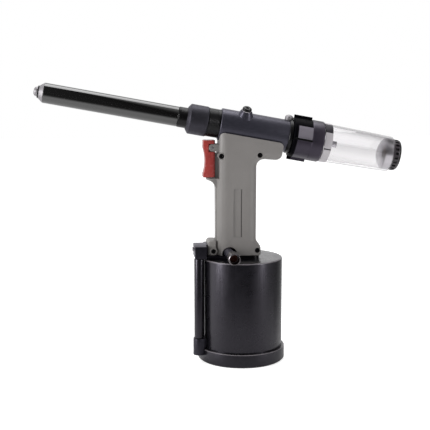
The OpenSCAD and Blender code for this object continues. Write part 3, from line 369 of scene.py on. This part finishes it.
# A darker band on the ring's upper part and a thin dark line further round, laid by the angle from the top.
dark_band = window(ring_steel, angle, *[math.radians(degrees) for degrees in DARK_BAND_DEGREES])
dark_line = window(ring_steel, angle, *[math.radians(degrees) for degrees in DARK_LINE_DEGREES])
steel = shade(ring_steel, grain(ring_steel, 2), "#a9a5a9", "#bdb9bd")
steel = repaint(ring_steel, dark_line, repaint(ring_steel, dark_band, steel, "#232027"), "#3b393c")
wire(ring_steel, steel, ring_shader, "Base Color")
wire(ring_steel, between(ring_steel, grain(ring_steel, 2), 0.42, 0.55), ring_shader, "Roughness")
print("the collar's front lies", round(COLLAR_FRONT / MM, 1), "mm from the middle of its turn")

# %% [markdown]
# ### Sintered bronze
# The inlet's filter is pressed from bronze beads about 0.5 mm across, brown with oil. A Voronoi texture has
# one round cell for each bead, and gives both the colour and the relief.

# %% Filter
BEAD_MM = 0.5
sintered, sintered_shader = finish("sintered_bronze", Metallic=0.7, Roughness=0.6)
links = {"Vector": place(sintered), "Scale": 1 / (BEAD_MM * MM)}
beads = add(sintered, "ShaderNodeTexVoronoi", links).outputs["Distance"]
wire(sintered, shade(sintered, beads, "#6d3a2a", "#3a1f18"), sintered_shader, "Base Color")
relief(sintered, sintered_shader, beads, -0.2)
print("made", sintered.name)

# %% [markdown]
# ### Moulded plastics
# The grip's shells are warm grey and very finely textured; the trigger is red and smoother. A spark-eroded
# mould gives a grain of about 0.5 mm. A dark line of painted shade lies in the rear corner of the panel sunk
# into the grip, where the coordinates lie in a narrow box. The valve block is cast and painted grey, the end
# cap is black and the seals are rubber.

# %% Grey shells, red trigger, black cap


def moulded(name, dark, light, rough, grain_mm=0.5, depth_mm=0.02):
    """Plastic, paint or rubber between two colours, with a fine grain."""
    mat, shader = finish(name, Metallic=0.0, IOR=1.48)
    wire(mat, shade(mat, grain(mat, 22), dark, light), shader, "Base Color")
    wire(mat, between(mat, grain(mat, 7), rough - 0.05, rough + 0.05), shader, "Roughness")
    relief(mat, shader, grain(mat, grain_mm), depth_mm)
    return mat


grey_shell = moulded("moulded_grey_nylon", "#716e6c", "#787573", 0.46)
# A dark line of painted shade at the rear wall of the grip's sunk panel.
SHADE_LINE_MM = {"X": (-3.1, -2.0), "Y": (-30, -10), "Z": (158, 217.6)}
spot = add(grey_shell, "ShaderNodeSeparateXYZ", {0: place(grey_shell)}).outputs
inside = [window(grey_shell, spot[axis], low * MM, high * MM) for axis, (low, high) in SHADE_LINE_MM.items()]
shade_line = both(grey_shell, inside[0], both(grey_shell, inside[1], inside[2]))
shell_shader = grey_shell.node_tree.nodes["Principled BSDF"]
clean = shell_shader.inputs["Base Color"].links[0].from_socket
wire(grey_shell, repaint(grey_shell, shade_line, clean, "#454241"), shell_shader, "Base Color")
grey_block = moulded("painted_grey_casting", "#74716f", "#7f7c79", 0.44, 0.7, 0.03)
red_trigger = moulded("moulded_red_nylon", "#8d322f", "#983c38", 0.27, 0.5, 0.01)
black_cap = moulded("moulded_black_nylon", "#0d0c0f", "#141316", 0.24)
# A lighter black for the end cap's crests, which is a painted highlight.
cap_crest_highlight = moulded("black_nylon_with_painted_highlight", "#2c272b", "#3a343a", 0.3)
black_rubber = moulded("nitrile_rubber", "#0c0c0d", "#141415", 0.6, 0.8, 0.03)
print("made", grey_shell.name, grey_block.name, red_trigger.name)
print("made", black_cap.name, cap_crest_highlight.name, black_rubber.name)

# %% [markdown]
# ### Clear polycarbonate
# The bottle is injection moulded and clear. It is a closed wall with a real thickness, so the shader needs
# only full transmission and the plastic's IOR of 1.58. Light that crosses the wall at a slant goes through
# more plastic, and the wall is painted much greyer there, mostly as a painted reflection of the dark room,
# which draws the bottle's outline. Light scuffs from the bench vary its gloss a little.

# %% Clear bottle
FACE_ON, EDGE_ON, EDGE_SHADE_POWER = 0.1, 0.95, 1.5
clear_plastic, clear_shader = finish("clear_polycarbonate", Transmission_Weight=1.0, IOR=1.58,
                                      Specular_IOR_Level=0.25)
slant = add(clear_plastic, "ShaderNodeLayerWeight", {"Blend": 0.5}).outputs["Facing"]
links = {"Value": slant, "From Min": FACE_ON, "From Max": EDGE_ON}
edge_shade = add(clear_plastic, "ShaderNodeMapRange", links).outputs[0]
edge_shade = add(clear_plastic, "ShaderNodeMath", {0: edge_shade, 1: EDGE_SHADE_POWER}, operation="POWER").outputs[0]
# Painted reflection: the colour turns grey toward the bottle's edges.
wire(clear_plastic, shade(clear_plastic, edge_shade, "#fcfbfc", "#57525a"), clear_shader, "Base Color")
wire(clear_plastic, between(clear_plastic, grain(clear_plastic, 3), 0.0, 0.02), clear_shader, "Roughness")
print("made", clear_plastic.name)

# %% [markdown]
# ## Rounded edges
# A machined edge is always broken, and a moulded one has a radius. The frame's solids have sharp edges, so
# each outer piece is copied, its coplanar triangles are joined, and a bevel goes on every edge sharper than
# 30 degrees. The copy stands for the solid, which stays in the physics.

# %% Helpers for pieces
MERGE_MM, FLAT_DEGREES = 0.002, 0.5
SHARP_DEGREES, SMOOTH_DEGREES, BEVEL_STEPS = 30, 35, 3


def only(piece):
    """Deselects everything, then selects one piece and makes it active."""
    bpy.ops.object.select_all(action="DESELECT")
    piece.select_set(True)
    bpy.context.view_layer.objects.active = piece


def copied(node, name):
    """A copy of a node, free of its tags, with its points merged and its flat faces joined."""
    only(nodes[node])
    bpy.ops.object.duplicate()
    piece = bpy.context.view_layer.objects.active
    piece.name = name
    piece.parent = None
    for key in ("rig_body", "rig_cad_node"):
        if key in piece:
            del piece[key]
    bpy.ops.object.mode_set(mode="EDIT")
    bpy.ops.mesh.select_all(action="SELECT")
    bpy.ops.mesh.remove_doubles(threshold=MERGE_MM * MM)
    bpy.ops.mesh.customdata_custom_splitnormals_clear()
    bpy.ops.mesh.dissolve_limited(angle_limit=math.radians(FLAT_DEGREES))
    bpy.ops.object.mode_set(mode="OBJECT")
    return piece


def apply_all(piece):
    """Applies a piece's modifiers."""
    only(piece)
    for modifier in list(piece.modifiers):
        bpy.ops.object.modifier_apply(modifier=modifier.name)


def dress(piece, material, slot, body, *stands_for):
    """Gives a finished piece its material and its body, and hides the nodes that it stands for."""
    piece.data.materials.clear()
    piece.data.materials.append(material)
    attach(piece, body)
    if stands_for:
        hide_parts(*stands_for)


def rounded(node, width_mm):
    """Copies a node, breaks its edges and puts the copy in the node's place, with the node's own finish."""
    piece = copied(node, node + "_finished")
    bevel = piece.modifiers.new("edges", "BEVEL")
    bevel.width = width_mm * MM
    bevel.segments = BEVEL_STEPS
    bevel.limit_method = "ANGLE"
    bevel.angle_limit = math.radians(SHARP_DEGREES)
    bevel.use_clamp_overlap = True
    apply_all(piece)
    bpy.ops.object.shade_smooth_by_angle(angle=math.radians(SMOOTH_DEGREES))
    dress(piece, nodes[node].material_slots[0].material, slot_of[node], body_of[node], node)
    return piece


print("an edge is sharp above", SHARP_DEGREES, "degrees")

# %% [markdown]
# ## Finishes on the solids
# Pieces whose shape is right stay as they are and only get a finish.

# %% Assign the finishes
FINISHES = {
    gloss_enamel: ["air_cylinder", "base_cap", "transfer_tube"],
    black_chrome: ["nose_tube"],
    nut_black: ["front_nut"],
    satin_black: ["head_barrel", "inlet_body"],
    collar_finish: ["rear_collar"],
    block_black: ["manifold_block", "lower_tube_block", "main_valve_body"],
    oxide_black: ["head_neck", "nose_coupling", "hydraulic_tube", "handle_screws", "block_screw", "oil_screw",
                  "lock_ring"],
    bright_steel: ["pull_piston", "draw_bar", "jaw_housing", "jaws", "jaw_pusher", "jaw_spring",
                   "return_spring", "trigger_pin", "pilot_stem", "pilot_spring", "oil_washer",
                   "manifold_plug"],
    blasted_steel: ["nose_cap", "nosepiece", "lock_screw"],
    polished_aluminium: ["bottle_insert", "mandrel_tube"],
    ring_steel: ["bottle_ring"],
    upright_steel: ["ram", "ram_nut", "valve_spool", "valve_spring", "valve_plug"],
    bright_aluminium: ["air_piston"],
    inlet_steel: ["inlet_swivel"],
    bronze: ["ram_gland", "rear_bush", "pilot_valve_body"],
    sintered: ["inlet_filter"],
    grey_shell: ["handle_left", "handle_right"],
    grey_block: ["valve_block"],
    red_trigger: ["trigger"],
    black_cap: ["end_cap"],
    black_rubber: ["base_seal", "air_piston_seal", "transfer_seals", "rod_seal", "pull_piston_seal",
                   "nose_ring"],
    clear_plastic: ["bottle"],
}
for material, names in FINISHES.items():
    for name in names:
        if not nodes[name].data.materials:
            nodes[name].data.materials.append(material)
        nodes[name].material_slots[0].material = material
        for extra in nodes[name].material_slots[1:]:
            extra.material = material

# %% [markdown]
# Now the outer pieces get their rounded copies. The width of each edge is the real one: 0.8 mm on the
# moulded shells, 2.2 mm on the trigger, where a finger rests, 1.2 mm on the cylinder's drawn rim, 1.3 mm on
# the domed oil screw, and 0.2 to 0.5 mm where a turned or milled edge is only broken.

# %% Round the edges
EDGE_MM = {
    "handle_left": 0.8, "handle_right": 0.8, "valve_block": 0.8, "trigger": 2.2, "base_cap": 0.8,
    "air_cylinder": 1.2, "manifold_block": 0.5, "lower_tube_block": 0.5, "main_valve_body": 0.3,
    "transfer_tube": 0.3, "head_barrel": 0.5, "front_nut": 0.4, "head_neck": 0.3, "nose_coupling": 0.3,
    "nose_tube": 0.3, "nose_cap": 0.4, "nose_ring": 0.3, "nosepiece": 0.2, "rear_collar": 0.5,
    "lock_ring": 0.4, "lock_screw": 0.3, "bottle_ring": 0.4, "end_cap": 0.4, "oil_screw": 1.3,
    "inlet_body": 0.3, "inlet_swivel": 0.3, "manifold_plug": 0.2, "bottle_insert": 0.3, "mandrel_tube": 0.2,
    "trigger_pin": 0.2,
}
finished = {node: rounded(node, width_mm) for node, width_mm in EDGE_MM.items()}
print("rounded", len(finished), "pieces,", sum(len(p.data.polygons) for p in finished.values()), "faces")

# %% [markdown]
# ## Ribs of the collar
# The collar's four ribs are black anodised like its barrel, and painted a deeper black as painted shade. They
# are the faces that stand further from the head's axis than the barrel does, so they are picked by that
# distance.

# %% Blacken the ribs with painted shade
RIB_HIGH_MM, RIB_FROM_MM = 2.1, 0.6


def from_axis(point, start=HEAD_POINT, direction=HEAD_AXIS):
    """How far a point lies from a turned part's axis."""
    arm = Vector(point) - start
    return (arm - arm.dot(direction) * direction).length


def repick(piece, material, test):
    """Gives the faces that pass a test a material of their own, and counts them."""
    piece.data.materials.append(material)
    chosen = [face for face in piece.data.polygons if test(face)]
    for face in chosen:
        face.material_index = len(piece.data.materials) - 1
    return len(chosen)


collar = finished["rear_collar"]
# The ribs' deeper black is painted shade.
rib_shade, _ = finish("black_anodised_rib_with_painted_shade", Base_Color=colour("#060607"), Roughness=0.6, IOR=1.15)
collar_reach = max(from_axis(v.co) for v in collar.data.vertices)
barrel_reach = collar_reach - RIB_HIGH_MM * MM
ribs = repick(collar, rib_shade, lambda face: from_axis(face.center) > barrel_reach + RIB_FROM_MM * MM)
print("blackened", ribs, "faces of the ribs, which reach", round(collar_reach / MM, 1), "mm from the axis")

# %% [markdown]
# The end cap's grip crests are painted grey, as painted highlights, while the grooves stay black. So are the
# upper rims of the cylinder and its base cap, as painted highlights in the enamel. The crests are picked by
# their place, and the rims by place and slope.

# %% Paint highlights on the cap and the rims
CREST_MM, RIM_MM = 0.25, 1.3
STEEPEST, FLATTEST = 0.25, 0.97
cap = finished["end_cap"]
cap_reach = max(from_axis(v.co) for v in cap.data.vertices)
# The crests get the lighter black: painted highlights.
crests = repick(cap, cap_crest_highlight, lambda face: from_axis(face.center) > cap_reach - CREST_MM * MM)
print("highlighted", crests, "faces of the cap")


def on_rim(piece):
    """A test for faces that slope between a piece's side and its top."""
    top = max(vertex.co.z for vertex in piece.data.vertices)
    return lambda face: face.center.z > top - RIM_MM * MM and STEEPEST < face.normal.z < FLATTEST


# The rims get the grey enamel: painted highlights.
for node in ("air_cylinder", "base_cap"):
    print("highlighted", repick(finished[node], enamel_rim_highlight, on_rim(finished[node])), "faces of", node)

# %% [markdown]
# ## Socket screws
# The shells are held by three sunk socket screws and the valve block by one. The frame's screws have sharp
# edges and no rounded head, so they are modelled again. Where each one stands can be read off its solid, so
# no place is typed: points that lie close together are one screw.

# %% Find the screws


def islands(node, gap_mm=8):
    """The low and high corners of each separate solid of a node, told apart across the tool's side view."""
    found = []
    for vertex in nodes[node].data.vertices:
        away = [max(abs(vertex.co.x - low.x), abs(vertex.co.z - low.z)) for low, _ in found]
        near = [box for box, distance in zip(found, away) if distance < gap_mm * MM]
        if near:
            low, high = near[0]
            for axis in range(3):
                low[axis] = min(low[axis], vertex.co[axis])
                high[axis] = max(high[axis], vertex.co[axis])
        else:
            found.append((vertex.co.copy(), vertex.co.copy()))
    return found


places = {node: islands(node) for node in ("handle_screws", "block_screw")}
for node, found in places.items():
    print(node, "has", len(found), "screws")

# %% [markdown]
# A screw's head is a ring between a round edge and a six-sided socket. It could be cut with a boolean, but
# that leaves long thin faces. So it starts as two flat loops that are bridged. The socket is then pushed
# in, and the head's edge is drawn back, drawn in to a narrower shank and closed.

# %% Model a screw
ROUND_SIDES, SOCKET_SIDES = 32, 6
EDGE_SHARE, SOCKET_SHARE, SHANK_SHARE = 0.8, 0.56, 0.6
SOCKET_DEPTH_MM, HEAD_MM, SCREW_EDGE_MM, FACE_MM = 1.6, 3.0, 0.15, 0.1


def pick(piece, test):
    """Selects the points of a piece in edit mode by their place."""
    bpy.ops.object.mode_set(mode="OBJECT")
    for part in (piece.data.polygons, piece.data.edges):
        part.foreach_set("select", [False] * len(part))
    for vertex in piece.data.vertices:
        vertex.select = test(vertex.co)
    bpy.ops.object.mode_set(mode="EDIT")


def push(distance_m):
    """Extrudes what is selected along the tool's depth."""
    bpy.ops.mesh.extrude_region_move(TRANSFORM_OT_translate={"value": (0, distance_m, 0)})


def socket_screw(name, low, high):
    """A socket head screw along the tool's depth, between two corners."""
    centre = (low + high) / 2
    face = Vector((centre.x, low.y, centre.z))
    radius = (high.x - low.x) / 2
    lying = (math.radians(90), 0, 0)
    bpy.ops.object.select_all(action="DESELECT")
    bpy.ops.mesh.primitive_circle_add(vertices=ROUND_SIDES, radius=radius, location=face, rotation=lying)
    screw = bpy.context.active_object
    screw.name = name
    bpy.ops.object.transform_apply()
    bpy.ops.object.mode_set(mode="EDIT")
    bpy.ops.mesh.select_mode(type="VERT")
    socket = SOCKET_SHARE * radius
    bpy.ops.mesh.primitive_circle_add(vertices=SOCKET_SIDES, radius=socket, location=face, rotation=lying)
    bpy.ops.mesh.select_all(action="SELECT")
    bpy.ops.mesh.bridge_edge_loops()
    pick(screw, lambda co: (co - face).length < EDGE_SHARE * radius)
    push(SOCKET_DEPTH_MM * MM)
    bpy.ops.mesh.edge_face_add()
    pick(screw, lambda co: (co - face).length > EDGE_SHARE * radius and co.y < low.y + FACE_MM * MM)
    push(HEAD_MM * MM)
    # This ring starts in the same place, and the resize below makes it the head's flat back.
    bpy.ops.mesh.extrude_region_move()
    head_back = (centre.x, low.y + HEAD_MM * MM, centre.z)
    bpy.ops.transform.resize(value=(SHANK_SHARE, 1, SHANK_SHARE), center_override=head_back)
    push(high.y - low.y - HEAD_MM * MM)
    bpy.ops.mesh.edge_face_add()
    bpy.ops.mesh.select_all(action="SELECT")
    bpy.ops.mesh.normals_make_consistent(inside=False)
    bpy.ops.object.mode_set(mode="OBJECT")
    bevel = screw.modifiers.new("edges", "BEVEL")
    bevel.width = SCREW_EDGE_MM * MM
    bevel.limit_method = "ANGLE"
    apply_all(screw)
    bpy.ops.object.shade_smooth_by_angle(angle=math.radians(SHARP_DEGREES))
    return screw


block_screw = socket_screw("block_screw_finished", *places["block_screw"][0])
dress(block_screw, oxide_black, slot_of["block_screw"], "housing", "block_screw")
print("made the block's screw with", len(block_screw.data.polygons), "faces")

# %% [markdown]
# The shells' screws are alike, so the first one is modelled and the others are copies of it, moved to their
# holes. They are joined, because they stand for one node of the frame.

# %% Copy it to the shells' holes
first = places["handle_screws"][0]
shell_screw = socket_screw("handle_screws_finished", *first)
copies = []
for low, high in places["handle_screws"][1:]:
    only(shell_screw)
    bpy.ops.object.duplicate()
    copies.append(bpy.context.view_layer.objects.active)
    copies[-1].location = low - first[0]
for other in copies:
    other.select_set(True)
shell_screw.select_set(True)
bpy.context.view_layer.objects.active = shell_screw
bpy.ops.object.join()
dress(shell_screw, oxide_black, slot_of["handle_screws"], "housing", "handle_screws")
start_mm = [round(value / MM, 1) for value in first[0]]
print("the first shell screw runs from", start_mm, "to y", round(first[1].y / MM, 1))

# %% [markdown]
# ## Springs
# Three springs stand between a moving piece and a fixed stop: behind the pulling piston, in the pilot valve
# and in the main valve. A spring that keeps its length would be cut by the piece that presses it. A spring
# that rides on the moving piece would cut the stop. Here each is only copied, smoothed and put in its node's
# place with its node's finish. The copy keeps its length, and the joint named beside it in the table is not
# used.

# %% Copy the springs
SPRINGS = {"return_spring": "pull", "pilot_spring": "pilot_press", "valve_spring": "spool_shift"}
for node, joint in SPRINGS.items():
    spring = copied(node, node + "_finished")
    bpy.ops.object.shade_smooth_by_angle(angle=math.radians(SMOOTH_DEGREES))
    dress(spring, nodes[node].material_slots[0].material, slot_of[node], body_of[node], node)
    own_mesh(spring)

# %% [markdown]
# ## Floor, light and camera
# The photograph was taken on a sheet of white paper in a studio with a long lens, slightly from above and
# slightly from the nose side. The black parts show what stood round it: a white backdrop behind, above and
# far round at the left, soft boxes at both sides, and a dark room behind the camera and at the right. One
# list of angles holds that panorama, in degrees round the tool and in brightness.

# %% The panorama
PANORAMA = {-180: 1.0, -85: 1.0, -40: 0.12, 20: 0.03, 52: 0.65, 92: 0.2, 125: 0.2, 165: 1.0, 180: 1.0}
HALF_TURN = 180
WHITE = (1, 1, 1, 1)


def studio(mat, vector):
    """How bright the studio is toward a place or direction, by its angle from the tool's front."""
    split = add(mat, "ShaderNodeSeparateXYZ", {0: vector})
    forward = add(mat, "ShaderNodeMath", {0: split.outputs["Y"], 1: -1.0}, operation="MULTIPLY")
    turned = add(mat, "ShaderNodeMath", {0: split.outputs["X"], 1: forward.outputs[0]}, operation="ARCTAN2")
    links = {"Value": turned.outputs[0], "From Min": -math.pi, "From Max": math.pi}
    ramp = add(mat, "ShaderNodeValToRGB", {0: add(mat, "ShaderNodeMapRange", links).outputs[0]})
    stops = ramp.color_ramp.elements
    for degrees in PANORAMA:
        if abs(degrees) < HALF_TURN:
            stops.new(degrees / (2 * HALF_TURN) + 0.5)
    for stop, value in zip(stops, PANORAMA.values()):
        stop.color = (value, value, value, 1)
    return ramp.outputs[0]


print("the panorama has", len(PANORAMA), "stops")

# %% [markdown]
# The paper is white, but a flat reflection looks past the paper's near part at the room. So mirror rays
# alone see the paper go dark, the more the further they land and the flatter they come in, and only where
# the room is dark. The camera and the bottle see the paper a little lifted, so that it meets the white
# backdrop without a line. The tool's shadow on it stays.

# %% Floor
FLOOR_M, PAPER_NEAR_M, PAPER_FAR_M = 8, 0.03, 0.4
FAR_POWER, FLAT_LOOK, STEEP_LOOK = 0.5, 0.3, 0.6
CAMERA_LIFT, BOTTLE_LIFT = 0.6, 0.3
bpy.ops.object.select_all(action="DESELECT")
bpy.ops.mesh.primitive_plane_add(size=FLOOR_M)
floor = bpy.context.active_object
floor.name = "studio_floor"
paper, paper_shader = finish("white_paper", Roughness=0.9)
path = add(paper, "ShaderNodeLightPath").outputs
away = add(paper, "ShaderNodeVectorMath", {0: place(paper)}, operation="LENGTH").outputs["Value"]
links = {"Value": away, "From Min": PAPER_NEAR_M, "From Max": PAPER_FAR_M}
far = add(paper, "ShaderNodeMapRange", links).outputs[0]
far = add(paper, "ShaderNodeMath", {0: far, 1: FAR_POWER}, operation="POWER").outputs[0]
steepness = add(paper, "ShaderNodeSeparateXYZ", {0: add(paper, "ShaderNodeNewGeometry").outputs["Incoming"]})
links = {"Value": steepness.outputs["Z"], "From Min": FLAT_LOOK, "From Max": STEEP_LOOK}
flat = add(paper, "ShaderNodeMapRange", {**links, "To Min": 1.0, "To Max": 0.0}).outputs[0]
room = add(paper, "ShaderNodeMath", {0: 1.0, 1: studio(paper, place(paper))}, operation="SUBTRACT").outputs[0]
links = {0: path["Is Glossy Ray"], 1: path["Is Transmission Ray"]}
mirror = add(paper, "ShaderNodeMath", links, operation="SUBTRACT", use_clamp=True).outputs[0]
dark = both(paper, both(paper, far, flat), both(paper, room, mirror))
wire(paper, shade(paper, dark, "#f3f3f3", "#0c0c0c"), paper_shader, "Base Color")
seen = both(paper, path["Is Camera Ray"], CAMERA_LIFT)
through = both(paper, path["Is Transmission Ray"], BOTTLE_LIFT)
lift = add(paper, "ShaderNodeMath", {0: seen, 1: through}, operation="MAXIMUM").outputs[0]
paper_shader.inputs["Emission Color"].default_value = WHITE
wire(paper, lift, paper_shader, "Emission Strength")
floor.data.materials.append(paper)
print("laid the floor")

# %% [markdown]
# Metal, glass and gloss see the panorama, with the same white background behind the tool as the camera
# sees. The light that falls on matt surfaces follows it too, but more evenly.

# %% World
ROOM_LIT, SIDES_LIT = 0.33, 0.8
world = bpy.data.worlds.new("studio")
bpy.context.scene.world = world
world.use_nodes = True
rays = add(world, "ShaderNodeLightPath").outputs
toward = add(world, "ShaderNodeTexCoord").outputs["Generated"]
shown = studio(world, toward)
lit = add(world, "ShaderNodeMapRange", {"Value": shown, "To Min": ROOM_LIT, "To Max": SIDES_LIT}).outputs[0]
links = {0: rays["Is Glossy Ray"], 1: rays["Is Transmission Ray"]}
mirrored = add(world, "ShaderNodeMath", links, operation="MAXIMUM").outputs[0]
light = add(world, "ShaderNodeMix", {0: mirrored, 2: lit, 3: shown}).outputs[0]
light = add(world, "ShaderNodeMix", {0: rays["Is Camera Ray"], 2: light, 3: 1.0}).outputs[0]
background = world.node_tree.nodes["Background"]
background.inputs["Color"].default_value = WHITE
wire(world, light, background, "Strength")
print("made the studio's room and backdrop")

# %% [markdown]
# Two tall soft boxes at the sides draw the light stripes down the cylinder and the side tube, and one above
# lights the tops. Area lamps are used because their image in the gloss is a rectangle, as a soft box's is.
# The upper one is hidden from light that crosses the bottle, where it would leave a bright patch.

# %% Lamps


def lamp(name, place_m, target_m, size_m, watts):
    """Hangs a soft box at a place and turns it to a target."""
    data = bpy.data.lights.new(name, "AREA")
    data.shape = "RECTANGLE"
    data.size, data.size_y = size_m
    data.energy = watts
    light = bpy.data.objects.new(name, data)
    bpy.context.scene.collection.objects.link(light)
    light.location = place_m
    light.rotation_euler = (Vector(target_m) - Vector(place_m)).to_track_quat("-Z", "Y").to_euler()
    return light


lamp("soft_top", (0.0, 0.35, 1.4), (0, 0, 0.2), (1.4, 0.8), 11).visible_transmission = False
lamp("soft_left", (-1.5, -0.6, 0.5), (0, 0, 0.15), (0.5, 0.9), 19)
lamp("soft_right", (1.25, -0.95, 0.45), (0, 0, 0.15), (0.25, 0.8), 8)
print("hung three soft boxes")

# %% [markdown]
# The camera's place, its aim and its long lens were solved from the tool's outline in the photograph, so
# that the render can be laid over it. The lens is given in pixels of the frame's width, and turned to
# millimetres here.

# %% Camera
SENSOR_MM = 36
CAMERA = Vector((-0.1512, -1.1697, 0.3609))
TARGET = Vector((-0.0334, 0.0, 0.1831))
FOCAL_PIXELS = 950
FRAME_PIXELS = 430
camera_data = bpy.data.cameras.new("studio_camera")
camera_data.sensor_width = SENSOR_MM
camera_data.lens = FOCAL_PIXELS / FRAME_PIXELS * SENSOR_MM
camera = bpy.data.objects.new("studio_camera", camera_data)
bpy.context.scene.collection.objects.link(camera)
camera.location = CAMERA
camera.rotation_euler = (TARGET - CAMERA).to_track_quat("-Z", "Y").to_euler()
bpy.context.scene.camera = camera
bpy.context.scene.view_settings.view_transform = "Standard"
print("the camera looks down", round(math.degrees(math.asin((CAMERA - TARGET).normalized().z)), 1), "degrees")
